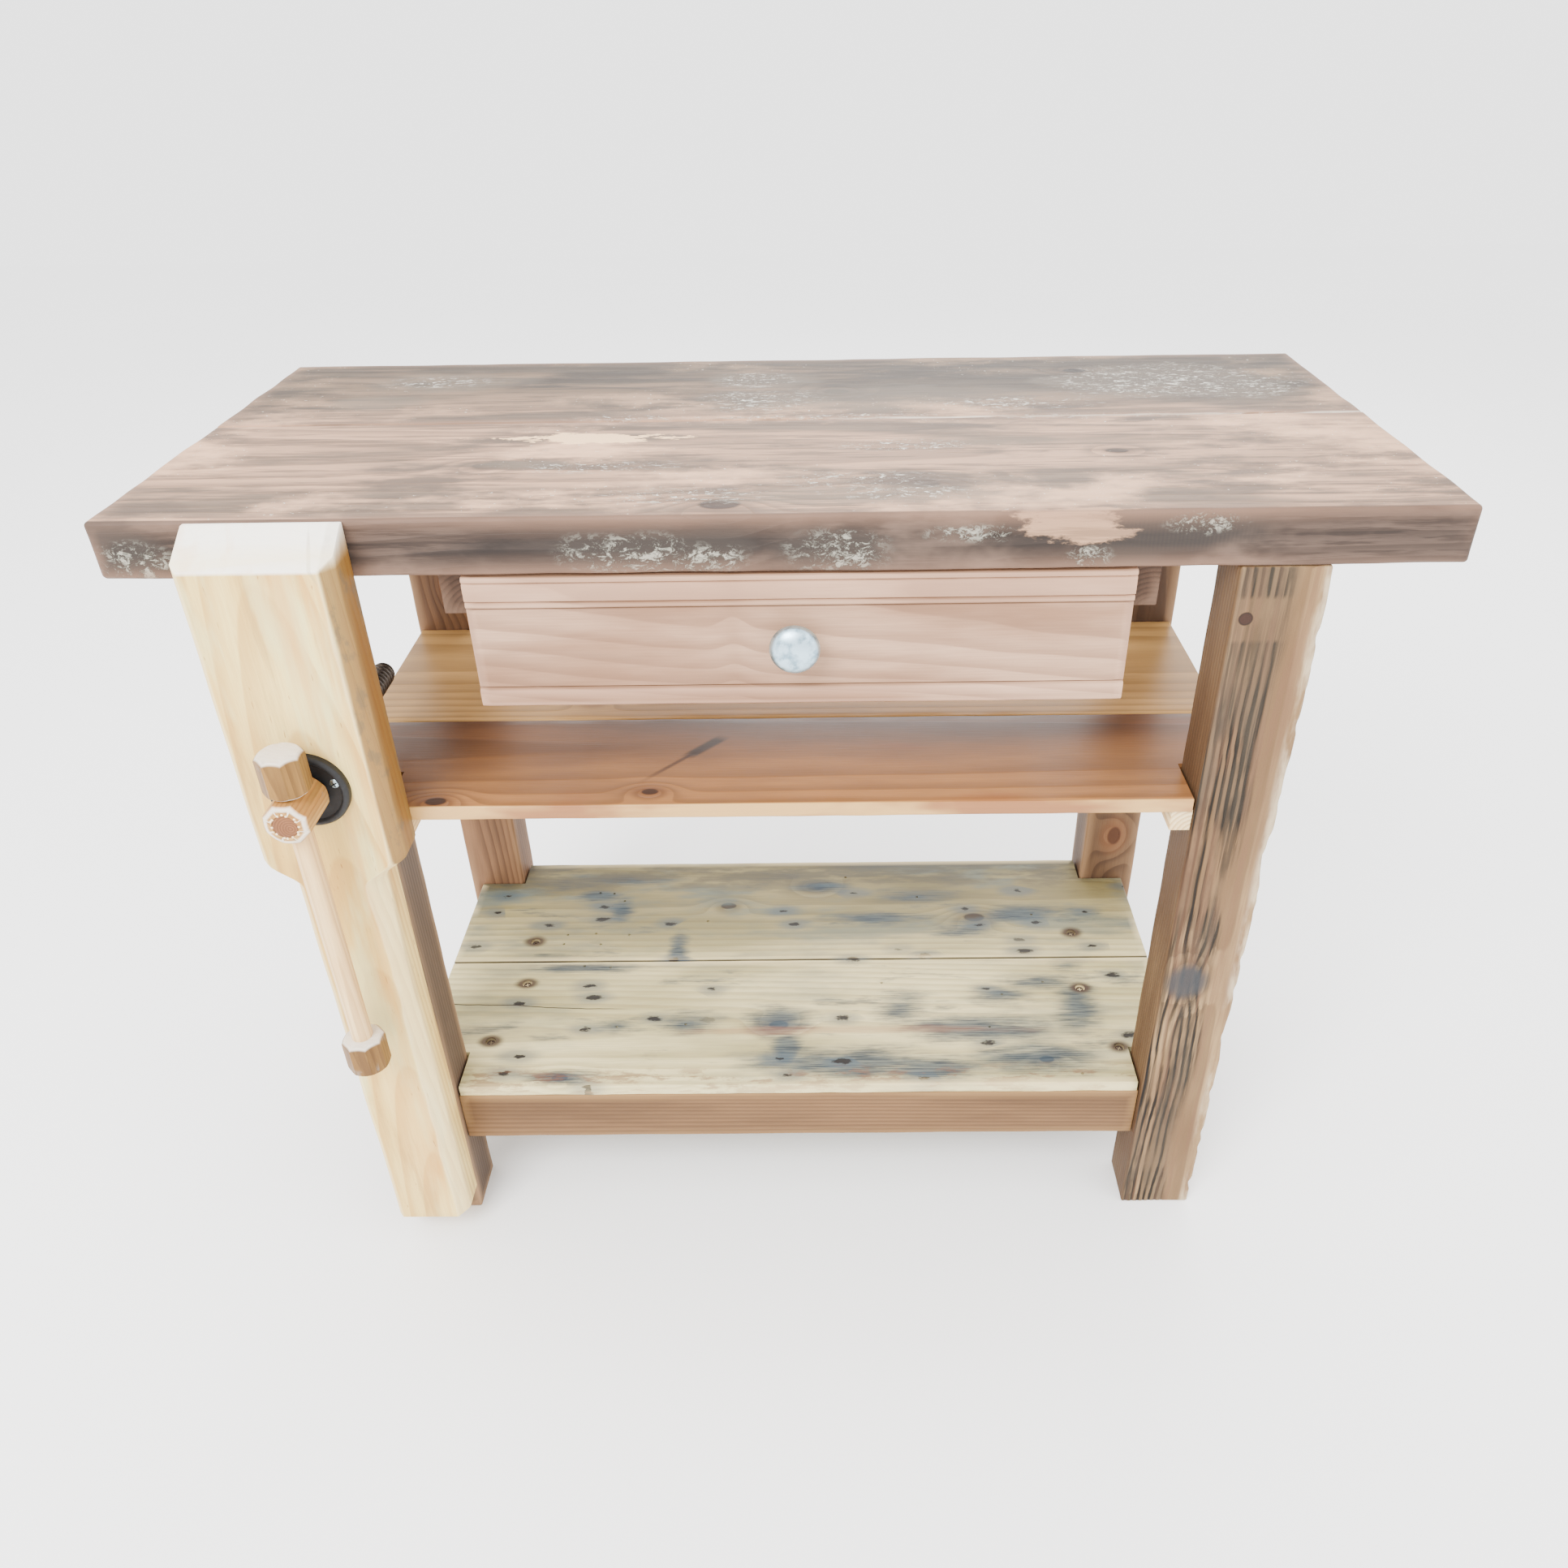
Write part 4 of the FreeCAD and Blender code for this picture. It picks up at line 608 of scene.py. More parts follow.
# ---------------------------------------------------------------- mesh helpers
def loose_object(name, points, faces):
    """An object with a plain mesh."""
    mesh = bpy.data.meshes.new(name)
    mesh.from_pydata([tuple(p) for p in points], [], [tuple(int(i) for i in f) for f in faces])
    made = bpy.data.objects.new(name, mesh)
    bpy.context.scene.collection.objects.link(made)
    return made


def marked(piece, key, values):
    """Keeps a number for every point of a piece, for its material to read."""
    layer = piece.data.attributes.new(key, "FLOAT", "POINT")
    layer.data.foreach_set("value", np.asarray(values, dtype=np.float32))
    return piece


def smoothed(piece):
    """Smooth shading all over."""
    for polygon in piece.data.polygons:
        polygon.use_smooth = True
    return piece


def baked(piece):
    """Makes a piece's modifiers part of its mesh."""
    mesh = bpy.data.meshes.new_from_object(piece.evaluated_get(bpy.context.evaluated_depsgraph_get()))
    piece.modifiers.clear()
    piece.data = mesh
    return piece


def make_piece(name, points, faces, body, material, replaced=(), attributes=None):
    """A closed mesh as a finished piece that rides on a body and stands for CAD nodes."""
    piece = loose_object(name, points, faces)
    for key, values in (attributes or {}).items():
        marked(piece, key, values)
    return settle(smoothed(piece), body, material, replaced)


def settle(piece, body, material, replaced=(), slot=None):
    """Gives a piece its material, its body and the nodes that it replaces."""
    piece.data.materials.clear()
    piece.data.materials.append(material)
    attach(piece, body)
    if replaced:
        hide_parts(*replaced)
    slot or SLOT[replaced[0]]
    return piece


def grid_lines(low, high, cell, edge):
    """Grid lines from low to high, closer together where the edges are rounded."""
    edge = min(edge, (high - low) * 0.4)
    count = max(2, round((high - low - 2 * edge) / cell) + 1)
    inner = np.linspace(low + edge, high - edge, count)
    steps = edge * np.array([0.0, 0.3, 0.65])
    return np.concatenate([low + steps, inner, (high - steps)[::-1]])


def shell(xs, ys, zs):
    """The surface of a box as a grid: its points and its outward quads."""
    mask = np.zeros((len(xs), len(ys), len(zs)), bool)
    sheets = [(axis, end) for axis in range(3) for end in (0, -1)]
    for axis, end in sheets:
        index = [slice(None)] * 3
        index[axis] = end
        mask[tuple(index)] = True
    ids = np.full(mask.shape, -1)
    ids[mask] = np.arange(mask.sum())
    i, j, k = np.nonzero(mask)
    faces = []
    for axis, end in sheets:
        index = [slice(None)] * 3
        index[axis] = end
        sheet = ids[tuple(index)]
        ring = [sheet[:-1, :-1], sheet[1:, :-1], sheet[1:, 1:], sheet[:-1, 1:]]
        if (end == 0) != (axis == 1):
            ring.reverse()
        faces.append(np.column_stack([part.ravel() for part in ring]))
    return np.column_stack([xs[i], ys[j], zs[k]]), np.concatenate(faces)


def worn_block(low, high, cell=9 * MM, radius=2 * MM, wander=0.5, wave=0.3 * MM, seed=0.0, cells=None,
               shape=None):
    """A timber with rounded, uneven edges and faces that dip a little. Returns points, faces, attributes."""
    lines = [grid_lines(low[a], high[a], cells[a] if cells else cell, radius) for a in range(3)]
    points, faces = shell(*lines)
    edge = np.zeros(len(points))
    moved = np.zeros_like(points)
    shift = Vector((seed, seed * 0.7, seed * 1.3))
    for index, point in enumerate(points):
        spot = Vector(point)
        ease = radius * (1 + wander * noise.noise(spot * 23 + shift))
        core = Vector([min(max(spot[a], low[a] + ease), high[a] - ease) for a in range(3)])
        out = spot - core
        facing = out.normalized() if out.length > 1e-9 else Vector((0, 0, 1))
        spot = core + facing * min(ease, out.length)
        dip = 0.5 + 0.5 * noise.noise(spot * 9 + shift)
        spot -= facing * (wave * dip)
        if shape:
            spot = shape(spot, facing)
        gaps = sorted(min(point[a] - low[a], high[a] - point[a]) for a in range(3))
        edge[index] = math.exp(-(gaps[1] / (2.5 * radius)) ** 2)
        moved[index] = spot
    return moved, faces, {"edge": edge}


def block_piece(name, node, material, **settings):
    """A worn block in the place of one CAD node."""
    low, high = BOX[node]
    points, faces, marks = worn_block(low, high, **settings)
    return make_piece(name, points, faces, BODY[node], material, (node,), attributes=marks)


def carve(piece, cutters):
    """Cuts closed tools out of a piece before it is settled, and deletes them."""
    for cutter in cutters:
        step = piece.modifiers.new("Cut", "BOOLEAN")
        step.operation = "DIFFERENCE"
        step.solver = "EXACT"
        step.object = cutter
    baked(piece)
    for cutter in cutters:
        bpy.data.objects.remove(cutter)
    return piece


def tool_box(low, high):
    """A plain cutting box."""
    points, faces = shell(*[np.array([low[a], high[a]]) for a in range(3)])
    return loose_object("Cutter", points, faces)


def lathe(profile, count, axis, origin, wobble=0.0, seed=0.0):
    """A turned solid: (radius, distance) pairs from one pole to the other, about an axis from an origin."""
    turn = Vector((0, 0, 1)).rotation_difference(Vector(axis)).to_matrix()
    points, faces = [], []
    for radius, height in profile:
        if radius < 1e-9:
            points.append(origin + turn @ Vector((0, 0, height)))
            continue
        for step in range(count):
            angle = math.tau * step / count
            spot = Vector((radius * math.cos(angle), radius * math.sin(angle), height))
            if wobble:
                spot.x += wobble * noise.noise(spot * 60 + Vector((seed, 0, 0)))
                spot.y += wobble * noise.noise(spot * 60 + Vector((0, seed + 9, 0)))
            points.append(origin + turn @ spot)
    start = 0
    for (r0, _), (r1, _) in zip(profile, profile[1:]):
        size0 = 1 if r0 < 1e-9 else count
        for step in range(count):
            after = (step + 1) % count
            if r0 < 1e-9:
                faces.append((start, start + size0 + after, start + size0 + step))
            elif r1 < 1e-9:
                faces.append((start + step, start + after, start + size0))
            else:
                faces.append((start + step, start + after, start + size0 + after, start + size0 + step))
        start += size0
    return points, faces


def outward(piece):
    """Merges doubles and turns every face outwards."""
    work = bmesh.new()
    work.from_mesh(piece.data)
    bmesh.ops.remove_doubles(work, verts=work.verts, dist=1e-6)
    bmesh.ops.recalc_face_normals(work, faces=work.faces)
    work.to_mesh(piece.data)
    work.free()
    return piece


def turned(name, profile, count, axis, origin, wobble=0.0, seed=0.0):
    """A turned solid as an object of its own."""
    return outward(loose_object(name, *lathe(profile, count, axis, origin, wobble, seed)))


def crisp(piece, degrees=32):
    """Smooth shading that keeps edges sharper than an angle."""
    work = bmesh.new()
    work.from_mesh(piece.data)
    limit = math.radians(degrees)
    for edge in work.edges:
        if len(edge.link_faces) == 2 and edge.calc_face_angle(0.0) > limit:
            edge.smooth = False
    for face in work.faces:
        face.smooth = True
    work.to_mesh(piece.data)
    work.free()
    return piece


# ---------------------------------------------------------------- Geometry Nodes for what repeats
def repeat_tree(name):
    """A tree that puts a piece on every point, turned by the point's own spin and tilt."""
    tree = bpy.data.node_groups.new(name, "GeometryNodeTree")
    face = tree.interface
    face.new_socket("Points", in_out="INPUT", socket_type="NodeSocketGeometry")
    face.new_socket("Piece", in_out="INPUT", socket_type="NodeSocketObject")
    size = face.new_socket("Size", in_out="INPUT", socket_type="NodeSocketFloat")
    size.default_value = 1.0
    spin = face.new_socket("Spin", in_out="INPUT", socket_type="NodeSocketFloat")
    spin.default_value = math.tau
    seed = face.new_socket("Seed", in_out="INPUT", socket_type="NodeSocketInt")
    seed.default_value = 1
    face.new_socket("Finish", in_out="INPUT", socket_type="NodeSocketMaterial")
    face.new_socket("Pieces", in_out="OUTPUT", socket_type="NodeSocketGeometry")
    make = tree.nodes.new
    start, end = make("NodeGroupInput"), make("NodeGroupOutput")
    fetch = make("GeometryNodeObjectInfo")
    place = make("GeometryNodeInstanceOnPoints")
    facing = make("GeometryNodeInputNamedAttribute")
    facing.data_type = "FLOAT_VECTOR"
    facing.inputs["Name"].default_value = "facing"
    align = make("FunctionNodeAlignRotationToVector")
    chance = make("FunctionNodeRandomValue")
    chance.data_type = "FLOAT"
    turn = make("GeometryNodeRotateInstances")
    together = make("ShaderNodeCombineXYZ")
    realize = make("GeometryNodeRealizeInstances")
    finish = make("GeometryNodeSetMaterial")
    link = tree.links.new
    link(start.outputs["Points"], place.inputs["Points"])
    link(start.outputs["Piece"], fetch.inputs["Object"])
    link(fetch.outputs["Geometry"], place.inputs["Instance"])
    link(facing.outputs["Attribute"], align.inputs["Vector"])
    link(align.outputs["Rotation"], place.inputs["Rotation"])
    link(start.outputs["Size"], place.inputs["Scale"])
    link(start.outputs["Spin"], chance.inputs[3])
    link(start.outputs["Seed"], chance.inputs["Seed"])
    link(chance.outputs[1], together.inputs["Z"])
    link(together.outputs[0], turn.inputs["Rotation"])
    link(place.outputs["Instances"], turn.inputs["Instances"])
    link(turn.outputs["Instances"], realize.inputs["Geometry"])
    link(realize.outputs["Geometry"], finish.inputs["Geometry"])
    link(start.outputs["Finish"], finish.inputs["Material"])
    link(finish.outputs["Geometry"], end.inputs["Pieces"])
    return tree


def repeated(name, spots, facings, pattern, material, body, replaced=(), slot=None, spin=math.tau, seed=1):
    """Copies of a pattern on every spot, made by Geometry Nodes and kept as one plain mesh."""
    tree = bpy.data.node_groups.get("Repeat on points") or repeat_tree("Repeat on points")
    mesh = bpy.data.meshes.new(name + " points")
    mesh.from_pydata([tuple(spot) for spot in spots], [], [])
    layer = mesh.attributes.new("facing", "FLOAT_VECTOR", "POINT")
    layer.data.foreach_set("vector", [c for facing in facings for c in facing])
    piece = bpy.data.objects.new(name, mesh)
    bpy.context.scene.collection.objects.link(piece)
    step = piece.modifiers.new("Repeat", "NODES")
    step.node_group = tree
    values = {"Piece": pattern, "Spin": spin, "Seed": seed, "Finish": material}
    for item in tree.interface.items_tree:
        if item.item_type == "SOCKET" and item.in_out == "INPUT" and item.name in values:
            step[item.identifier] = values[item.name]
    baked(piece)
    bpy.data.objects.remove(pattern)
    return settle(piece, body, material, replaced, slot)


def screw_pattern(head, shank, length, pan=False, recess=0.32):
    """A screw with a cross recess, its head's top at the origin and its shank towards -Z."""
    depth = head * 0.32
    crown = [(0, depth * 0.55), (head * 0.28, depth * 0.48), (head * 0.42, depth * 0.25), (head / 2, 0.0)]
    flat = [(0, 0.0), (head * 0.47, 0.0), (head / 2, -0.03 * head)]
    body = [(shank / 2, -depth), (shank / 2, -length + shank), (0, -length)]
    profile = list(reversed((crown if pan else flat) + body))
    screw = turned("Screw", profile, 20, (0, 0, 1), Vector((0, 0, 0)))
    reach, wide = head * recess, head * 0.07
    for angle in (0, math.pi / 2):
        low, high = Vector((-reach, -wide, -depth * 0.8)), Vector((reach, wide, depth))
        slot_points, slot_faces = shell(*[np.array([low[a], high[a]]) for a in range(3)])
        slot_points = [Matrix.Rotation(angle, 3, "Z") @ Vector(p) for p in slot_points]
        carve(screw, [loose_object("Slot", slot_points, slot_faces)])
    return crisp(screw, 40)


def solids_of(node):
    """The centre and box of every separate solid in a CAD node."""
    work = bmesh.new()
    work.from_mesh(frame["nodes"][node].data)
    bmesh.ops.remove_doubles(work, verts=work.verts, dist=1e-6)
    left = set(work.verts)
    found = []
    while left:
        stack = [left.pop()]
        group = [stack[0]]
        while stack:
            for edge in stack.pop().link_edges:
                for vert in edge.verts:
                    if vert in left:
                        left.remove(vert)
                        stack.append(vert)
                        group.append(vert)
        co = np.array([v.co for v in group])
        found.append((Vector(co.min(0)), Vector(co.max(0))))
    work.free()
    return sorted(found, key=lambda pair: tuple(pair[0]))


def screws(name, node, facing, material, head, pan=False, proud=0.0, seed=1):
    """Screws in the place of a node's solids; facing says which way the heads look for each one's box."""
    spots, ways, depth = [], [], 0.0
    for low, high in solids_of(node):
        way = Vector(facing((low + high) / 2))
        axis = max(range(3), key=lambda a: abs(way[a]))
        spot = (low + high) / 2
        spot[axis] = high[axis] if way[axis] > 0 else low[axis]
        spots.append(spot + way * proud)
        ways.append(way)
        depth = high[axis] - low[axis]
    pattern = screw_pattern(head, 4 * MM, depth, pan)
    return repeated(name, spots, ways, pattern, material, BODY[node], (node,), seed=seed)


# ---------------------------------------------------------------- operators, one for each group of pieces
class BENCH_OT_worktop(bpy.types.Operator):
    """Two thick weathered boards with rubbed edges and one deep filled bruise."""

    bl_idname = "bench.worktop"
    bl_label = "Worktop"

    def execute(self, context):
        settings = timber()
        looks = {
            "worktop_front_board": ((0.03, -0.16), 3.0, ((-0.265, -0.0, 0.009), (0.12, -0.06, 0.011),
                                                          (-0.05, -0.105, 0.012), (0.30, 0.02, 0.007))),
            "worktop_back_board": ((-0.04, -0.20), 8.0, ((0.05, -0.02, 0.010), (-0.40, 0.03, 0.008),
                                                          (0.31, 0.05, 0.009))),
        }
        for node, (pith, seed, knots) in looks.items():
            material = worktop_material(node, pith, seed, knots)
            block_piece(node.replace("board", "plank"), node, material, cell=8 * MM,
                        radius=settings.edge_round, wander=settings.edge_wander,
                        wave=settings.face_wave, seed=seed, shape=worktop_shape)
        beech = plain_timber("Beech dowel", "worktop_dowels", "y", "#cfa77c", "#b98f63", "#9a7148")
        frame["nodes"]["worktop_dowels"].data.materials.clear()
        frame["nodes"]["worktop_dowels"].data.materials.append(beech)
        return {"FINISHED"}


def worktop_shape(spot, facing):
    """Presses the bruised part of the front edge in, and dents the ends of the boards."""
    bruise = math.exp(-((spot.x - BRUISE) / 0.045) ** 4) * max(0.0, 1 - abs(spot.y - FRONT) / (14 * MM))
    if spot.z > TOP - 30 * MM:
        spot.z -= 1.6 * MM * bruise * max(0.0, 1 - (TOP - spot.z) / (26 * MM))
        spot.y += 1.2 * MM * bruise
    end = abs(spot.x) - (BOX["worktop_front_board"][1].x - 6 * MM)
    if end > 0:
        pull = 1.6 * MM * (0.5 + 0.5 * noise.noise(Vector((3.0, spot.y * 17, spot.z * 30))))
        spot.x -= math.copysign(pull, spot.x)
    return spot


class BENCH_OT_legs(bpy.types.Operator):
    """Four posts; the right front one has deep ridged grain."""

    bl_idname = "bench.legs"
    bl_label = "Legs"

    def execute(self, context):
        low, high = BOX["front_right_leg"]
        top = BOX["worktop_front_board"][0].z
        high = Vector((high.x, high.y, top))
        marks = {"ridge": [], "weather": []}
        points, faces, edge = worn_block(low, high, radius=3 * MM, wander=0.6, wave=0.6 * MM, seed=41,
                                         cells=(1.25 * MM, 6 * MM, 4.5 * MM),
                                         shape=lambda spot, facing: ridge(spot, facing, low, high, marks))
        marks["edge"] = edge["edge"]
        make_piece("front_right_post", points, faces, "bench", right_leg_material(), ("front_right_leg",),
                   attributes=marks)
        looks = {
            "front_left_leg": ("#695646", "#514135", "#362921", (0.02, -0.11), 23.0),
            "back_left_leg": ("#856144", "#624732", "#422d21", (-0.03, -0.07), 26.0),
            "back_right_leg": ("#785b40", "#574130", "#38271e", (0.01, -0.09), 29.0),
        }
        for node, (light, dark, late, pith, seed) in looks.items():
            knots = ((-0.156, 0.003, 0.010),) if node == "back_right_leg" else ((0.21, 0.01, 0.007),)
            material = plain_timber("Sanded post " + node, node, "z", light, dark, late, 0.55, pith=pith,
                                    seed=seed, knots=knots, worn="#a5825f", ring=6 * MM, warp=7 * MM)
            low, high = BOX[node]
            high = Vector((high.x, high.y, top))
            points, faces, edge = worn_block(low, high, cell=9 * MM, radius=3 * MM, wander=0.6,
                                             wave=0.5 * MM, seed=seed)
            if node == "front_left_leg":
                self.bored(node, points, faces, edge, material)
                continue
            make_piece(node.replace("leg", "post"), points, faces, "bench", material, (node,),
                       attributes=edge)
        return {"FINISHED"}

    def bored(self, node, points, faces, edge, material):
        """The vise's leg, with the guide's mortise and the spindle's hole through it."""
        post = marked(smoothed(loose_object("front_left_post", points, faces)), "edge", edge["edge"])
        guide = BOX["vise_guide"]
        gap = Vector((0.5 * MM, 0, 0.5 * MM))
        low, high = guide[0] - gap, guide[1] + gap
        low.y, high.y = BOX[node][0].y - 10 * MM, BOX[node][1].y + 10 * MM
        profile = [(0, 0), (14 * MM, 0), (14 * MM, 80 * MM), (0, 80 * MM)]
        hole = turned("Bore", profile, 32, (0, 1, 0), Vector((SCREW_AXIS.x, low.y, SCREW_AXIS.z)))
        carve(post, [tool_box(low, high), hole])
        settle(crisp(post, 50), "bench", material, (node,))


# where the right leg's ridges stand out: height, half length and strength
RIDGE_PATCHES = ((0.61, 0.12, 1.0), (0.41, 0.055, 0.85), (0.20, 0.16, 0.62), (0.03, 0.05, 1.0),
                 (0.79, 0.035, 0.6))
RIDGE_SPACING = 7.2 * MM


def ridge(spot, facing, low, high, marks):
    """Sinks wavy furrows into the right leg's front, chips its outer edge and keeps the depths."""
    side = spot.x - low.x
    drift = 6 * MM * noise.noise(Vector((0.3, 0.0, spot.z * 4.1)))
    drift += 2.5 * MM * noise.noise(Vector((spot.x * 30, 2.0, spot.z * 13)))
    knot = Vector((side - LEG_KNOT[0], 0, spot.z - LEG_KNOT[1]))
    around = math.exp(-((knot.x / 0.020) ** 2 + (knot.z / 0.040) ** 2))
    phase = (side + drift + math.copysign(9 * MM * around, knot.x)) / RIDGE_SPACING
    wave = 0.5 + 0.5 * math.cos(math.tau * phase)
    furrow = min(1.0, max(0.0, (wave - 0.42) / 0.38))
    border = 53 * MM + 13 * MM * noise.noise(Vector((7.0, 1.0, spot.z * 5.5)))
    border -= 10 * MM * max(0.0, 1 - abs(spot.z - 0.46) / 0.05)
    inside = min(1.0, max(0.0, (border - side) / (9 * MM)))
    along = 0.5
    for centre, half, strength in RIDGE_PATCHES:
        along = max(along, strength * min(1.0, max(0.0, 1.6 - 1.6 * abs(spot.z - centre) / half)))
    if abs(spot.z - LEG_PLUG[1] + 1 * MM) < 22 * MM:
        along *= 0.25
    broken = min(1.0, max(0.45, 0.9 + 1.3 * noise.noise(Vector((spot.x * 60, 5.0, spot.z * 9)))))
    front = max(0.0, -facing.y)
    marks["ridge"].append(furrow * inside * along * broken * front)
    marks["weather"].append(front * inside * (0.35 + 0.65 * along))
    spot.y += timber().ridge_depth * furrow * inside * along * front
    corner = max(0.0, 1 - (high.x - spot.x) / (9 * MM)) * max(0.0, 1 - (spot.y - low.y) / (12 * MM))
    chip = max(0.0, noise.noise(Vector((3.0, 8.0, spot.z * 13))) - 0.02)
    chip += 0.5 * max(0.0, noise.noise(Vector((9.0, 2.0, spot.z * 47))))
    spot.x -= 11 * MM * corner * chip
    return spot


class BENCH_OT_rails(bpy.types.Operator):
    """The four lower rails, cut off square at the legs."""

    bl_idname = "bench.rails"
    bl_label = "Lower rails"

    def execute(self, context):
        inner = {"x": (BOX["front_left_leg"][1].x, BOX["front_right_leg"][0].x),
                 "y": (BOX["front_left_leg"][1].y, BOX["back_left_leg"][0].y)}
        looks = {
            "lower_front_rail": ("x", "#7a5b3d", "#60462e", "#47311e", (0.01, -0.06), 71.0),
            "lower_back_rail": ("x", "#7a522f", "#5a3e24", "#3c2716", (0.0, -0.09), 73.0),
            "lower_left_rail": ("y", "#7a522f", "#5a3e24", "#3c2716", (0.01, -0.06), 75.0),
            "lower_right_rail": ("y", "#7a522f", "#5a3e24", "#3c2716", (-0.01, -0.07), 77.0),
        }
        for node, (grain, light, dark, late, pith, seed) in looks.items():
            low, high = BOX[node][0].copy(), BOX[node][1].copy()
            axis = "xy".index(grain)
            low[axis], high[axis] = inner[grain]
            material = plain_timber("Rail " + node, node, grain, light, dark, late, 0.5, pith=pith, seed=seed,
                                    worn="#957349", ring=5.5 * MM, warp=5 * MM)
            points, faces, edge = worn_block(low, high, cell=10 * MM, radius=2 * MM, wave=0.4 * MM, seed=seed)
            make_piece(node.replace("rail", "bar"), points, faces, "bench", material, (node,),
                       attributes=edge)
        return {"FINISHED"}


def notched_board(name, node, material, neighbours, holes=(), radius=1.6 * MM, cell=9 * MM, seed=0.0,
                  wave=0.3 * MM, shape=None):
    """A worn board cut back round its neighbours and countersunk for its screws."""
    low, high = BOX[node]
    points, faces, marks = worn_block(low, high, cell=cell, radius=radius, wander=0.7, wave=wave, seed=seed,
                                      shape=shape)
    board = marked(smoothed(loose_object(name, points, faces)), "edge", marks["edge"])
    gap = 2.5 * MM
    tools = []
    for other in neighbours:
        start, end = BOX[other][0] - Vector((gap, gap, 0)), BOX[other][1] + Vector((gap, gap, 0))
        if start.x < 0:
            start.x = low.x - 0.02
        else:
            end.x = high.x + 0.02
        tools.append(tool_box(start, end))
    for centre, wide, deep in holes:
        profile = [(0, -deep), (wide / 2, -deep), (wide / 2, 4 * MM), (0, 4 * MM)]
        tools.append(turned("Hole", profile, 18, (0, 0, 1), Vector(centre)))
    carve(board, tools)
    return settle(crisp(board, 50), "bench", material, (node,))


class BENCH_OT_lower_shelf(bpy.types.Operator):
    """Two pale boards with iron stains, sunk screws and old nail holes."""

    bl_idname = "bench.lower_shelf"
    bl_label = "Lower shelf"

    def execute(self, context):
        top = BOX["lower_shelf_front_board"][1].z
        heads = [(low + high) / 2 for low, high in solids_of("lower_shelf_screws")]
        sunk = [((spot.x, spot.y, top), 12 * MM, 3.2 * MM) for spot in heads]
        nails = {"lower_shelf_back_board": NAILS_BACK, "lower_shelf_front_board": NAILS_FRONT}
        looks = {
            "lower_shelf_back_board": ((0.04, -0.10), 50.0, ((0.02, 0.046, 0.008), (0.225, -0.022, 0.010),
                                                              (-0.095, 0.006, 0.007)), STAINS_BACK, False,
                                       ("back_left_leg", "back_right_leg")),
            "lower_shelf_front_board": ((-0.03, -0.07), 55.0, ((-0.023, -0.01, 0.008), (0.28, -0.068, 0.006),
                                                                (-0.265, -0.09, 0.006)), STAINS_FRONT, True,
                                        ("front_left_leg", "front_right_leg")),
        }
        for node, (pith, seed, knots, stains, crack, posts) in looks.items():
            low, high = BOX[node]
            rings = [(spot.x, spot.y) for spot in heads if low.y < spot.y < high.y]
            material = lower_shelf_material(node, pith, seed, knots, stains, rings, crack)
            holes = [hole for hole in sunk if low.y < hole[0][1] < high.y]
            holes += [((x, y, top), timber().nail_hole, 5 * MM) for x, y in nails[node] if low.y < y < high.y]
            notched_board(node.replace("board", "plank"), node, material, posts, holes, seed=seed,
                          shape=splintered if crack else None)
        return {"FINISHED"}


def splintered(spot, facing):
    """Torn fibres along the front edge of the lower shelf."""
    if facing.y < -0.5:
        tear = max(0.0, noise.noise(Vector((spot.x * 45, spot.z * 160, 4.0))))
        spot.y += 2.2 * MM * tear
    return spot


NAILS_BACK = [(-0.337, 0.062), (-0.298, 0.075), (-0.262, 0.077), (-0.219, 0.074), (-0.300, 0.057),
              (-0.253, 0.056), (-0.269, 0.161), (-0.250, 0.159), (-0.234, 0.143), (0.30, 0.107),
              (0.154, 0.146),
              (0.06, 0.19), (-0.12, 0.10)]
NAILS_FRONT = [(-0.267, 0.015), (-0.234, 0.012), (0.295, -0.021), (0.222, -0.096), (-0.132, -0.088),
               (-0.212, -0.091), (0.316, -0.17), (0.243, -0.042), (0.10, -0.02)]
STAINS_BACK = [((0.02, 0.171), (0.030, 0.012)), ((-0.154, 0.040), (0.010, 0.030)),
               ((0.154, 0.146), (0.040, 0.012)), ((0.295, 0.11), (0.050, 0.012)),
               ((0.212, 0.079), (0.035, 0.012)), ((-0.27, 0.155), (0.020, 0.010)),
               ((-0.25, 0.19), (0.06, 0.010)), ((0.10, 0.10), (0.06, 0.010)), ((-0.235, 0.12), (0.012, 0.02))]
STAINS_FRONT = [((0.061, -0.148), (0.075, 0.020)), ((-0.020, -0.085), (0.030, 0.020)),
                ((0.12, -0.062), (0.030, 0.022)), ((0.28, -0.145), (0.055, 0.020)),
                ((0.295, -0.021), (0.050, 0.012)), ((-0.132, -0.088), (0.030, 0.014)),
                ((-0.212, -0.091), (0.022, 0.012)), ((0.20, -0.10), (0.060, 0.018)),
                ((0.243, -0.042), (0.035, 0.014)), ((-0.265, -0.169), (0.030, 0.008)),
                ((0.15, -0.165), (0.05, 0.014)), ((0.33, -0.06), (0.022, 0.05)),
                ((-0.267, 0.012), (0.05, 0.007)), ((-0.012, -0.13), (0.014, 0.026))]


class BENCH_OT_shelf_battens(bpy.types.Operator):
    """The two rough battens under the lower shelf."""

    bl_idname = "bench.shelf_battens"
    bl_label = "Shelf battens"

    def execute(self, context):
        for side, seed in (("left", 66.0), ("right", 68.0)):
            node = side + "_shelf_batten"
            rough = plain_timber("Rough batten " + side, node, "y", "#a98662", "#8a6a4a", "#664a31", 0.55,
                                 (0.6, 0.8), 0.4 * MM, pith=(0.01, -0.03), seed=seed, ring=5 * MM,
                                 warp=4 * MM)
            block_piece(side + "_batten_bar", node, rough, cell=10 * MM, radius=1.2 * MM, seed=seed)
        return {"FINISHED"}


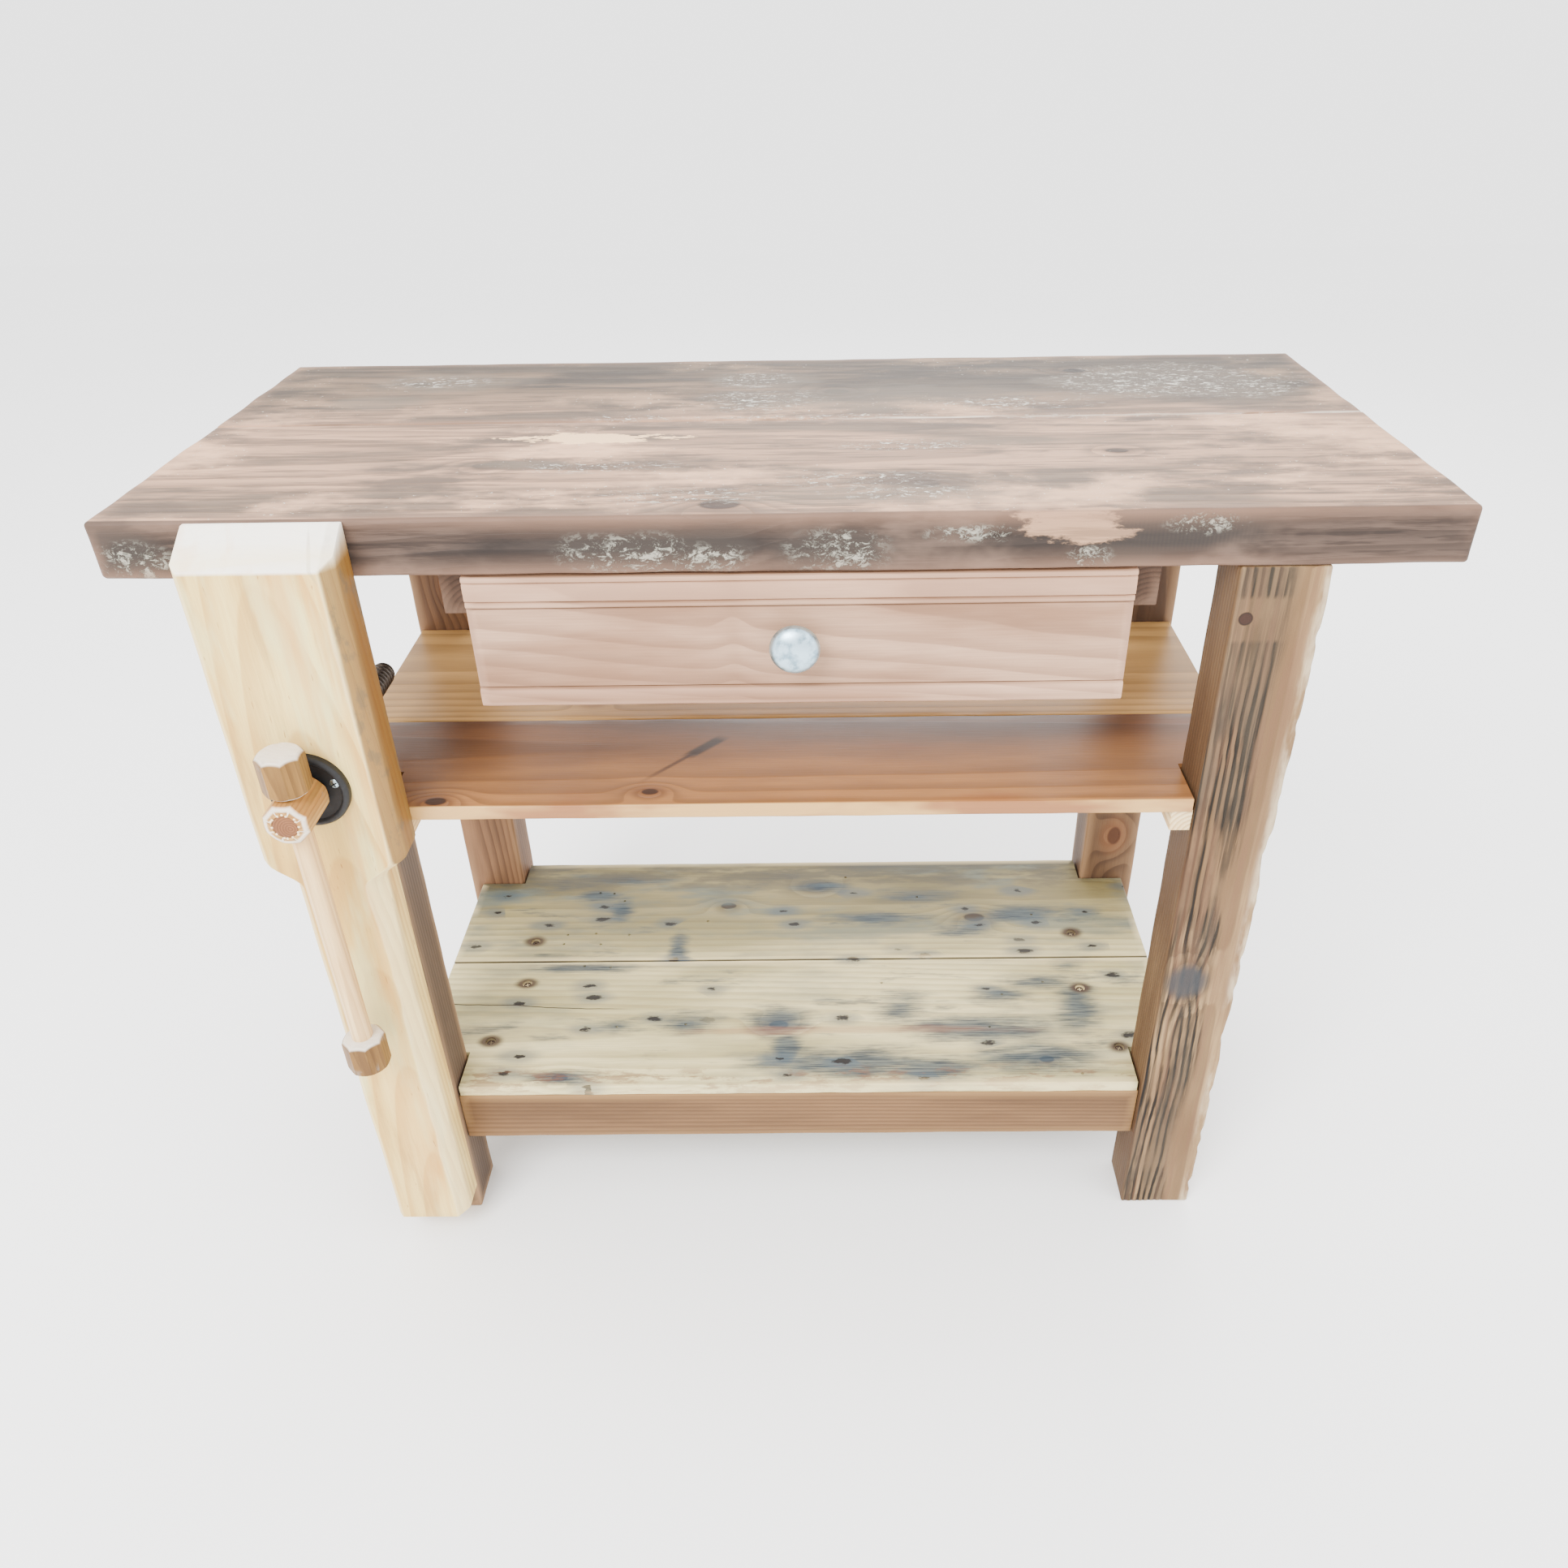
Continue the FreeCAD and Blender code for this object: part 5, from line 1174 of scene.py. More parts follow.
class BENCH_OT_middle_shelf(bpy.types.Operator):
    """An orange waxed board in front, a yellow one behind it, and their two cleats."""

    bl_idname = "bench.middle_shelf"
    bl_label = "Middle shelf"

    def execute(self, context):
        notched_board("middle_shelf_front_plank", "middle_shelf_front_board", orange_shelf_material(),
                      ("front_left_leg", "front_right_leg"), seed=12)
        node = "middle_shelf_back_board"
        yellow = plain_timber("Waxed yellow shelf", node, "x", "#d0a468", "#b08853", "#85633a", 0.5,
                              (0.26, 0.44), 0.2 * MM, pith=(0.03, -0.22), seed=14, ring=6 * MM, warp=6 * MM,
                              lean=(0.012, 0.005), knots=((-0.21, -0.07, 0.007), (0.16, 0.02, 0.006)))
        block_piece("middle_shelf_back_plank", node, yellow, cell=10 * MM, radius=1.6 * MM, seed=14)
        for side, seed in (("left", 16.0), ("right", 18.0)):
            node = side + "_shelf_cleat"
            light = plain_timber("New cleat " + side, node, "y", "#f3deb0", "#e3bf84", "#ad7f49", 0.6,
                                 (0.5, 0.7), 0.25 * MM, pith=(0.01, -0.02), seed=seed, ring=4.5 * MM,
                                 warp=3 * MM)
            block_piece(side + "_cleat_bar", node, light, cell=8 * MM, radius=0.9 * MM, seed=seed)
        return {"FINISHED"}


class BENCH_OT_drawer(bpy.types.Operator):
    """The moulded drawer front with its knob, and the box behind it."""

    bl_idname = "bench.drawer"
    bl_label = "Drawer"

    def execute(self, context):
        self.front()
        self.knob()
        for node, grain, seed in (("drawer_left_side", "y", 81.0), ("drawer_right_side", "y", 82.0),
                                  ("drawer_back", "x", 83.0), ("drawer_left_batten", "y", 84.0),
                                  ("drawer_right_batten", "y", 85.0), ("drawer_bottom", "x", 86.0)):
            material = plain_timber("Drawer box " + node, node, grain, "#cba878", "#b08b5d", "#876740", 0.45,
                                    (0.45, 0.65), 0.2 * MM, pith=(0.01, -0.08), seed=seed, ring=6 * MM,
                                    warp=5 * MM)
            block_piece(node + "_board", node, material, cell=14 * MM, radius=0.7 * MM, wave=0.1 * MM,
                        seed=seed)
        return {"FINISHED"}

    def front(self):
        """A profile with a bead and a groove above and a bead below, carried along the front."""
        low, high = BOX["drawer_front"]
        tall = (high.z - low.z) / MM
        outline = [(20, 0), (20, tall), (2, tall), (0.7, tall - 0.8), (0.1, tall - 2.6), (0.3, tall - 4.2),
                   (1.9, tall - 5.4), (0.5, tall - 6.6), (0.2, tall - 8), (0.2, tall - 20.6),
                   (0.8, tall - 21.6), (2.8, tall - 22.4), (1.2, tall - 23.6), (0.7, tall - 25.6),
                   (1.1, tall - 27.4), (3.6, tall - 28.7), (2.7, tall - 30.0), (2.5, tall - 31.5),
                   (2.5, 19.6), (3.8, 18.7), (1.2, 17.6), (0.5, 15.8), (0.3, 6), (0.6, 3), (1.7, 1.0),
                   (4, 0.1)]
        count = 64
        rows = np.linspace(low.x, high.x, count)
        points, faces, edge = [], [], []
        for x in rows:
            for index, (y, z) in enumerate(outline):
                give = 0.16 * MM * noise.noise(Vector((x * 20, y * 0.2, z * 0.2 + index)))
                end = min(x - low.x, high.x - x)
                tuck = 0.9 * MM * max(0.0, 1 - end / (4 * MM)) if y < 10 else 0.0
                deep = max(0.0, y * MM + give + tuck) if y < 19 else y * MM
                points.append((x, low.y + deep, low.z + z * MM))
                edge.append(max(math.exp(-(end / (5 * MM)) ** 2), 0.8 if y < 0.9 and z != 6 else 0.0))
        size = len(outline)
        for row in range(count - 1):
            for index in range(size):
                after = (index + 1) % size
                a, b = row * size + index, row * size + after
                faces.append((a, b, b + size, a + size))
        faces.append(tuple(range(size - 1, -1, -1)))
        faces.append(tuple((count - 1) * size + i for i in range(size)))
        wood = Timber("Sanded drawer front", "drawer_front", "x", pith=(0.10, 0.05), lean=(0.03, 0.05),
                      ring=9 * MM, warp=9 * MM, seed=33, knots=((-0.056, 0.0, 0.0035),))
        g = wood.g
        colour = wood.colour("#b39076", "#8e6b53", "#6e4f3c", 0.42, (0.36, 0.64), "#3a2418", "#795942")
        dust = g.stretched(wood.axes, (9.0, 60.0, 60.0), 35.0, detail=4.0)
        colour = g.mix(g.times(g.band(dust, 0.55, 0.75), 0.35), colour, tone("#80634e"))
        x, y, z = wood.raw
        # painted shade: the moulding's recessed groove and hollows, more than about 3 mm behind its front,
        # are darkened
        hollow = g.band(y, low.y + 2.7 * MM, low.y + 3.4 * MM)
        front_only = g.band(y, low.y + 6 * MM, low.y + 4.5 * MM)
        colour = g.mix(g.times(g.times(hollow, front_only), 0.6), colour, tone("#523929"))
        colour = g.mix(g.times(wood.edge, 0.35), colour, tone("#d0a68b"))
        front = outward(marked(loose_object("drawer_face", points, faces), "edge", edge))
        sanded = wood.finish(colour, (0.5, 0.68), 0.2 * MM)
        settle(crisp(front, 38), "drawer", sanded, ("drawer_front",))

    def knob(self):
        """A thin domed knob of soft metal on a waisted neck, with small dents."""
        low, high = BOX["drawer_knob"]
        centre = middle("drawer_knob")
        reach, radius = high.y - low.y, (high.x - low.x) / 2
        dome = [(0.0, reach)]
        for step in range(1, 13):
            share = step / 12
            dome.append((radius * 0.985 * math.sin(share * math.pi / 2),
                         reach - 10.5 * MM * (1 - math.cos(share * math.pi / 2))))
        rim = [(radius, reach - 11.5 * MM), (radius * 0.995, reach - 13 * MM),
               (radius * 0.95, reach - 14.4 * MM), (radius * 0.80, reach - 15.2 * MM),
               (8 * MM, reach - 16.4 * MM), (7 * MM, reach - 19 * MM),
               (7 * MM, 6 * MM), (8.2 * MM, 3 * MM), (10 * MM, 1 * MM), (10 * MM, 0), (0, 0)]
        knob = turned("round_knob", dome + rim, 56, (0, -1, 0), Vector((centre.x, high.y, centre.z)),
                      0.12 * MM, 5.0)
        pewter = metal_material("Pewter", "#bcd6e4", "#6d8897", (0.26, 0.50), wear=0.85, scale=75.0,
                                depth=0.04 * MM)
        settle(crisp(knob, 60), "drawer", pewter, ("drawer_knob",))


class BENCH_OT_runners(bpy.types.Operator):
    """The two dark drawer runners."""

    bl_idname = "bench.runners"
    bl_label = "Drawer runners"

    def execute(self, context):
        for side, seed in (("left", 91.0), ("right", 95.0)):
            node = side + "_drawer_runner"
            low, high = BOX[node]
            batten = BOX["drawer_" + side + "_batten"]
            web = batten[0].x - 1 * MM if side == "left" else batten[1].x + 1 * MM
            ledge = batten[0].z - 1 * MM
            points, faces, marks = worn_block(low, high, cell=10 * MM, radius=1.5 * MM, wave=0.4 * MM,
                                              seed=seed)
            bar = marked(loose_object(side + "_runner_rail", points, faces), "edge", marks["edge"])
            start = Vector((web if side == "left" else low.x - 0.01, low.y - 0.01, ledge))
            end = Vector((high.x + 0.01 if side == "left" else web, high.y + 0.01, high.z + 0.01))
            carve(bar, [tool_box(start, end)])
            material = plain_timber("Dark runner " + side, node, "y", "#5b4436", "#453226", "#2c1f17", 0.55,
                                    pith=(0.01, -0.03), seed=seed, ring=4.5 * MM, warp=4 * MM, worn="#6f5645")
            settle(crisp(bar, 50), "bench", material, (node,))
        return {"FINISHED"}


class BENCH_OT_chop(bpy.types.Operator):
    """The vise's jaw with its hand-cut chamfers and bevelled top, and its guide."""

    bl_idname = "bench.chop"
    bl_label = "Vise chop"

    def execute(self, context):
        low, high = BOX["vise_chop"]
        centre = SCREW_AXIS.x
        depth = high.y - low.y
        wide, narrow = (high.x - low.x) / 2, 40 * MM
        shoulder_high, shoulder_low = 541 * MM, 514 * MM
        drop, back = 24 * MM, 5 * MM
        levels = list(np.linspace(low.z, shoulder_low - 6 * MM, 46))
        levels += list(np.linspace(shoulder_low, shoulder_high, 7))
        levels += list(np.linspace(shoulder_high + 6 * MM, high.z - drop - 3 * MM, 34))
        arris_steps = (3, 4, 10, 11)
        points, end, arris, sections = [], [], [], []
        for level in levels + [None]:
            z = high.z - drop if level is None else level
            share = min(1.0, max(0.0, (z - shoulder_low) / (shoulder_high - shoulder_low)))
            share = share * share * (3 - 2 * share)
            half = narrow + (wide - narrow) * share
            sections.append(len(points))
            for x, y in self.section(z, half, depth):
                if level is None:
                    slope = (-y - back) / (depth - back)
                    z_here = high.z - max(0.0, slope) * drop
                else:
                    z_here = z
                points.append((centre + x, high.y + y, z_here))
                end.append(1.0 if level is None else 0.0)
            arris += [1.0 if step in arris_steps else 0.0 for step in range(len(points) - sections[-1])]
        count = sections[1] - sections[0]
        faces = []
        for first, second in zip(sections, sections[1:]):
            for step in range(count):
                after = (step + 1) % count
                faces.append((first + step, first + after, second + after, second + step))
        faces += self.lids(sections[-1], count) + self.lids(sections[0], count)
        chop = marked(marked(loose_object("vise_jaw", points, faces), "endgrain", end), "edge", arris)
        soften(outward(chop), 1.3 * MM, 2, 24)
        bore = [(0, -1 * MM), (13 * MM, -1 * MM), (13 * MM, depth + 2 * MM), (0, depth + 2 * MM)]
        seat = [(0, -1 * MM), (20 * MM, -1 * MM), (20 * MM, 8 * MM), (0, 8 * MM)]
        front = Vector((centre, low.y, SCREW_AXIS.z))
        carve(chop, [turned("Bore", bore, 32, (0, 1, 0), front), turned("Seat", seat, 32, (0, 1, 0), front)])
        settle(crisp(chop, 28), "vise_chop", chop_material(), ("vise_chop",))
        guide = plain_timber("Vise guide", "vise_guide", "y", "#e6d6b6", "#d6bf94", "#b08a58", 0.5,
                             pith=(0.01, -0.05), seed=64, ring=5 * MM, warp=4 * MM)
        block_piece("guide_bar", "vise_guide", guide, cell=9 * MM, radius=1 * MM, wave=0.15 * MM, seed=64)
        return {"FINISHED"}

    def section(self, z, half, depth):
        """One level of the chop, round from the back left corner; its chamfers wander in width."""
        settings = vise()
        waver = 1 + 0.35 * noise.noise(Vector((1.0, 2.0, z * 9)))
        waver += 0.18 * noise.noise(Vector((4.0, 1.0, z * 31)))
        right = settings.chamfer_right * waver
        left = settings.chamfer_left * (1 + 0.35 * noise.noise(Vector((7.0, 3.0, z * 11))))
        give = 0.8 * MM * (0.5 + 0.5 * noise.noise(Vector((9.0, 9.0, z * 7))))
        side = half - give
        y_levels = [0.0, -5 * MM, -0.45 * depth]
        turn = [(-side, y) for y in y_levels] + [(-side, -depth + left * 1.25)]
        turn += [(-side + left, -depth), (-side + left + 2 * MM, -depth)]
        turn += [(side * t, -depth) for t in (-0.5, 0.0, 0.45)]
        turn += [(side - right - 2 * MM, -depth), (side - right, -depth), (side, -depth + right * 1.25)]
        turn += [(side, y) for y in reversed(y_levels)]
        return turn

    def lids(self, start, count):
        """Closes one end with strips between the left and the right side and one wide strip in front."""
        left = [start + i for i in range(4)]
        right = [start + count - 1 - i for i in range(4)]
        strips = [(left[i], left[i + 1], right[i + 1], right[i]) for i in range(3)]
        return strips + [tuple(range(start + 3, start + count - 3))]


def soften(piece, width, segments, degrees):
    """A small round on every edge sharper than an angle."""
    step = piece.modifiers.new("Soft edges", "BEVEL")
    step.width = width
    step.segments = segments
    step.limit_method = "ANGLE"
    step.angle_limit = math.radians(degrees)
    step.use_clamp_overlap = True
    return baked(piece)


def whittled(name, node, axis, flats, edge_drop, body, material, seed, bore=None, count=96):
    """An octagonal block whose ends are turned to a shallow cone, so that its flats end in scallops."""
    low, high = BOX[node]
    centre = middle(node)
    if axis == "y":
        start, reach, way = Vector((centre.x, high.y, centre.z)), high.y - low.y, (0, -1, 0)
    else:
        start, reach, way = Vector((centre.x, centre.y, low.z)), high.z - low.z, (0, 0, 1)
    turn = Vector((0, 0, 1)).rotation_difference(Vector(way)).to_matrix()
    points, faces, marks = [start.copy()], [], [1.0]
    rings = [("end", 0, 0.55), ("end", 0, 0.86), ("rim", 0, 1.0), ("wall", 0.25, 1.0), ("wall", 0.5, 1.0),
             ("wall", 0.75, 1.0), ("rim", 1, 1.0), ("end", 1, 0.86), ("end", 1, 0.55)]
    for kind, place, share in rings:
        for step in range(count):
            angle = math.tau * step / count
            wedge = (angle + math.pi / 8) % (math.pi / 4) - math.pi / 8
            flat = flats / 2 / math.cos(wedge)
            jitter = 1 - 0.02 * (0.5 + 0.5 * noise.noise(Vector((math.cos(angle) * 3, math.sin(angle) * 3,
                                                                 place * 2 + seed))))
            radius = min(flat * jitter, flats / 2 * 1.075)
            drop = edge_drop * max(0.0, (radius * share - flats / 2 * 0.80) / (flats / 2 * 0.28))
            drop = min(drop, edge_drop * 1.1)
            if kind == "end":
                radius *= share
            height = {0: drop, 1: reach - drop}.get(place, reach * place)
            points.append(start + turn @ Vector((radius * math.cos(angle), radius * math.sin(angle), height)))
            marks.append(0.0 if kind == "wall" else (0.55 if kind == "rim" else 1.0))
    points.append(start + turn @ Vector((0, 0, reach)))
    marks.append(1.0)
    for step in range(count):
        after = (step + 1) % count
        faces.append((0, 1 + after, 1 + step))
        for ring in range(len(rings) - 1):
            a, b = 1 + ring * count + step, 1 + ring * count + after
            faces.append((a, b, b + count, a + count))
        last = 1 + (len(rings) - 1) * count
        faces.append((last + step, last + after, len(points) - 1))
    piece = outward(marked(loose_object(name, points, faces), "endgrain", marks))
    if bore:
        carve(piece, bore)
    return settle(crisp(piece, 26), body, material, (node,))


class BENCH_OT_vise_metal(bpy.types.Operator):
    """The threaded spindle with its collar, the black flange and the nut."""

    bl_idname = "bench.vise_metal"
    bl_label = "Vise ironwork"

    def execute(self, context):
        steel = metal_material("Oiled spindle steel", "#3a322b", "#5a5047", (0.32, 0.55), metallic=0.85,
                               wear=0.5, scale=260.0)
        black = metal_material("Black iron", "#0a0a0b", "#1b1b1f", (0.45, 0.65), metallic=0.0, wear=0.45,
                               scale=320.0)
        self.spindle(steel)
        self.flange(black)
        self.nut(black)
        self.collar(steel)
        return {"FINISHED"}

    def collar(self, material):
        """The bevelled ring that pulls the chop back."""
        ring = [(12.05 * MM, 0), (18.2 * MM, 0), (19 * MM, 0.8 * MM), (19 * MM, 6.2 * MM),
                (18.2 * MM, 7 * MM), (12.05 * MM, 7 * MM), (12.05 * MM, 0)]
        origin = Vector((SCREW_AXIS.x, BOX["spindle_collar"][0].y, SCREW_AXIS.z))
        collar = turned("thrust_collar", ring, 64, (0, 1, 0), origin)
        settle(crisp(collar, 30), "vise_screw", material, ("spindle_collar",))

    def spindle(self, material):
        """A square thread wound along the bar as one closed skin, with a domed tail."""
        settings = vise()
        low, high = BOX["vise_spindle"]
        radius = (high.x - low.x) / 2
        around = 48
        pitch, depth = settings.thread_pitch, settings.thread_depth
        start = BOX["vise_flange"][1].y
        rows = [low.y + 0.0001] + list(np.arange(start, high.y - radius, pitch / 12))
        points, faces, edge = [Vector((SCREW_AXIS.x, low.y, SCREW_AXIS.z))], [], [0.0]
        tail = [high.y - radius + radius * math.sin(a) for a in np.linspace(0, math.pi / 2 * 0.98, 10)]
        for y in rows + tail:
            for step in range(around):
                angle = math.tau * step / around
                turn = ((y - start) / pitch - step / around) % 1.0
                groove = min(1.0, max(0.0, (abs(turn - 0.5) - 0.20) / 0.10))
                fade = min(1.0, max(0.0, (y - start) / (2 * MM)))
                size = radius - depth * (1 - groove) * fade
                if y > high.y - radius:
                    cap = math.sqrt(max(0.0, 1 - ((y - high.y + radius) / radius) ** 2))
                    size = min(size, radius * cap)
                size = max(size, 0.3 * MM)
                points.append(Vector((SCREW_AXIS.x + size * math.cos(angle), y,
                                      SCREW_AXIS.z + size * math.sin(angle))))
                edge.append(0.9 if groove > 0.5 else 0.0)
        points.append(Vector((SCREW_AXIS.x, high.y, SCREW_AXIS.z)))
        edge.append(0.5)
        count = len(rows) + len(tail)
        for step in range(around):
            after = (step + 1) % around
            faces.append((0, 1 + step, 1 + after))
            for row in range(count - 1):
                a, b = 1 + row * around + step, 1 + row * around + after
                faces.append((a, a + around, b + around, b))
            last = 1 + (count - 1) * around
            faces.append((last + after, last + step, len(points) - 1))
        bar = outward(marked(loose_object("threaded_spindle", points, faces), "edge", edge))
        settle(crisp(bar, 40), "vise_screw", material, ("vise_spindle",))

    def flange(self, material):
        """The black ring: a bevelled raised rim round a flat dish."""
        low, high = BOX["vise_flange"]
        outer, thick = (high.x - low.x) / 2, high.y - low.y
        profile = [(13 * MM, 0), (outer, 0), (outer, thick - 3.2 * MM),
                   (outer - 0.5 * MM, thick - 2.2 * MM), (outer - 2.2 * MM, thick - 0.4 * MM),
                   (outer - 3.2 * MM, thick), (outer - 4.6 * MM, thick),
                   (outer - 5.4 * MM, thick - 0.5 * MM), (outer - 6.6 * MM, thick - 2.7 * MM),
                   (outer - 7.6 * MM, thick - 3 * MM), (13.5 * MM, thick - 3 * MM),
                   (13 * MM, thick - 3.5 * MM), (13 * MM, 0)]
        origin = Vector((SCREW_AXIS.x, high.y, SCREW_AXIS.z))
        ring = turned("black_flange", profile, 96, (0, -1, 0), origin)
        settle(crisp(ring, 30), "vise_chop", material, ("vise_flange",))

    def nut(self, material):
        """The nut's plate and boss behind the leg."""
        low, high = BOX["vise_nut"]
        plate_front = BOX["front_left_leg"][1].y
        start = Vector((low.x, plate_front, low.z))
        points, faces, marks = worn_block(start, high, cell=8 * MM, radius=1.2 * MM, wander=0.1,
                                          wave=0.05 * MM)
        plate = marked(loose_object("nut_plate", points, faces), "edge", marks["edge"])
        profile = [(0, -2 * MM), (12.06 * MM, -2 * MM), (12.06 * MM, 12 * MM), (0, 12 * MM)]
        origin = Vector((SCREW_AXIS.x, plate_front, SCREW_AXIS.z))
        carve(plate, [turned("Bore", profile, 40, (0, 1, 0), origin)])
        settle(crisp(plate, 40), "bench", material, ("vise_nut",))


class BENCH_OT_handle(bpy.types.Operator):
    """The octagonal hub with its plug and tool marks, and the sliding handle with its two caps."""

    bl_idname = "bench.handle"
    bl_label = "Hub and handle"

    def execute(self, context):
        golden = handle_material("Golden cap wood", "handle_upper_cap", "z", "#987139", "#715026", "#4b3014",
                                 31.0)
        pale = handle_material("Pale hub wood", "vise_hub", "y", "#caa162", "#aa793e", "#774d25", 36.0)
        low_cap = handle_material("Lower cap wood", "handle_lower_cap", "z", "#9b733a", "#6f4f27", "#482e15",
                                  38.0)
        centre = middle("handle_rod")
        hub = BOX["vise_hub"]
        profile = [(0, 0), (10.5 * MM, 0), (10.5 * MM, 60 * MM), (0, 60 * MM)]
        below = Vector((centre.x, centre.y, hub[0].z - 10 * MM))
        cross = turned("Cross hole", profile, 32, (0, 0, 1), below)
        plug = BOX["hub_plug"]
        reach = (plug[1].x - plug[0].x) / 2 + 0.05 * MM
        profile = [(0, 0), (reach, 0), (reach, 14 * MM), (0, 14 * MM)]
        ahead = Vector((centre.x, plug[0].y - 2 * MM, middle("hub_plug").z))
        seat = turned("Plug seat", profile, 40, (0, 1, 0), ahead)
        whittled("octagonal_hub", "vise_hub", "y", 38 * MM, 4.5 * MM, "vise_screw", pale, 3.0, [cross, seat])
        whittled("upper_handle_cap", "handle_upper_cap", "z", 38 * MM, 5 * MM, "handle", golden, 5.0)
        whittled("lower_handle_cap", "handle_lower_cap", "z", 38 * MM, 5 * MM, "handle", low_cap, 7.0)
        self.rod()
        self.plug()
        return {"FINISHED"}

    def rod(self):
        """The turned rod, a little thinner in places."""
        low, high = BOX["handle_rod"]
        centre = middle("handle_rod")
        radius = (high.x - low.x) / 2
        profile = [(0, 0)]
        for step in range(61):
            share = step / 60
            swell = 1 - 0.05 * (0.5 + 0.5 * noise.noise(Vector((0.0, 0.0, share * 5))))
            profile.append((radius * swell, (high.z - low.z) * share))
        profile.append((0, high.z - low.z))
        wood = plain_timber("Handle rod wood", "handle_rod", "z", "#efce98", "#d6a768", "#a3743f", 0.4,
                            (0.35, 0.5), 0.12 * MM, pith=(0.02, -0.05), seed=34, ring=4 * MM, warp=4 * MM)
        bar = turned("sliding_rod", profile, 40, (0, 0, 1), Vector((centre.x, centre.y, low.z)))
        settle(crisp(bar, 40), "handle", wood, ("handle_rod",))

    def plug(self):
        """A worn brown plug in the hub's face, ringed by small gouge marks."""
        low, high = BOX["hub_plug"]
        centre = middle("hub_plug")
        radius, deep = (high.x - low.x) / 2, high.y - low.y
        profile = [(0, deep - 0.2 * MM), (radius * 0.5, deep), (radius * 0.9, deep - 0.1 * MM),
                   (radius, deep - 0.7 * MM), (radius, 0), (0, 0)]
        plug = turned("brown_plug", profile, 40, (0, -1, 0), Vector((centre.x, high.y, centre.z)), 0.1 * MM,
                      2.0)
        brown = plain_timber("Worn plug wood", "hub_plug", "y", "#8e5c3a", "#6c4529", "#45291a", 0.5,
                             (0.4, 0.6), 0.2 * MM, pith=(0.004, -0.002), seed=44, ring=2.2 * MM, warp=2 * MM)
        settle(crisp(plug, 40), "vise_screw", brown, ("hub_plug",))
        spots, ways = [], []
        count = vise().dimples
        for step in range(count):
            angle = math.tau * (step + 0.3 * math.sin(step * 2.4)) / count
            reach = radius + 0.6 * MM + 0.5 * MM * math.sin(step * 3.7)
            spots.append((centre.x + reach * math.cos(angle), low.y + 0.15 * MM,
                          centre.z + reach * math.sin(angle)))
            ways.append((0, -1, 0))
        bead = [(0, 0.15 * MM), (0.9 * MM, 0.05 * MM), (1.2 * MM, -0.3 * MM), (1.1 * MM, -1.4 * MM),
                (0, -1.5 * MM)]
        mark = crisp(turned("Mark", bead, 10, (0, 0, 1), Vector((0, 0, 0))), 60)
        chip = plain_timber("Bright gouge chip", "hub_plug", "y", "#f6e3c0", "#eccf9f", "#c99a62", 0.3,
                            (0.4, 0.6), 0.1 * MM, seed=47)
        repeated("gouge_chips", spots, ways, mark, chip, "vise_screw", slot=SLOT["vise_hub"], seed=4)


class BENCH_OT_fasteners(bpy.types.Operator):
    """Every screw, laid out by Geometry Nodes in the places of the CAD's screws."""

    bl_idname = "bench.fasteners"
    bl_label = "Screws"

    def execute(self, context):
        zinc = metal_material("Bright zinc", "#a9bcc4", "#7f939c", (0.22, 0.42), wear=0.4, scale=400.0)
        dark = metal_material("Rusty screw steel", "#3b312b", "#5b463a", (0.5, 0.75), metallic=0.6, wear=0.6,
                              scale=420.0)
        screws("flange_screw_set", "flange_screws", lambda c: (0, -1, 0), zinc, 9 * MM, pan=True, seed=3)
        screws("shelf_screw_set", "lower_shelf_screws", lambda c: (0, 0, 1), dark, 9 * MM, proud=-3 * MM,
               seed=5)
        screws("nut_screw_set", "nut_screws", lambda c: (0, 1, 0), zinc, 8 * MM, seed=7)
        screws("runner_screw_set", "runner_screws", lambda c: (0, 0, -1), zinc, 8 * MM, seed=9)
        screws("cleat_screw_set", "cleat_screws", lambda c: (1 if c.x < 0 else -1, 0, 0), zinc, 8 * MM,
               seed=11)
        spread = middle("drawer_front").x
        screws("drawer_screw_set", "drawer_screws", lambda c: (-1 if c.x < spread else 1, 0, 0), zinc,
               8 * MM, seed=13)
        low, high = BOX["knob_bolt"]
        centre = middle("knob_bolt")
        pattern = screw_pattern(10 * MM, 5 * MM, high.y - low.y, pan=False)
        repeated("knob_bolt_set", [(centre.x, high.y, centre.z)], [(0, 1, 0)], pattern, zinc, "drawer",
                 ("knob_bolt",), seed=15)
        return {"FINISHED"}


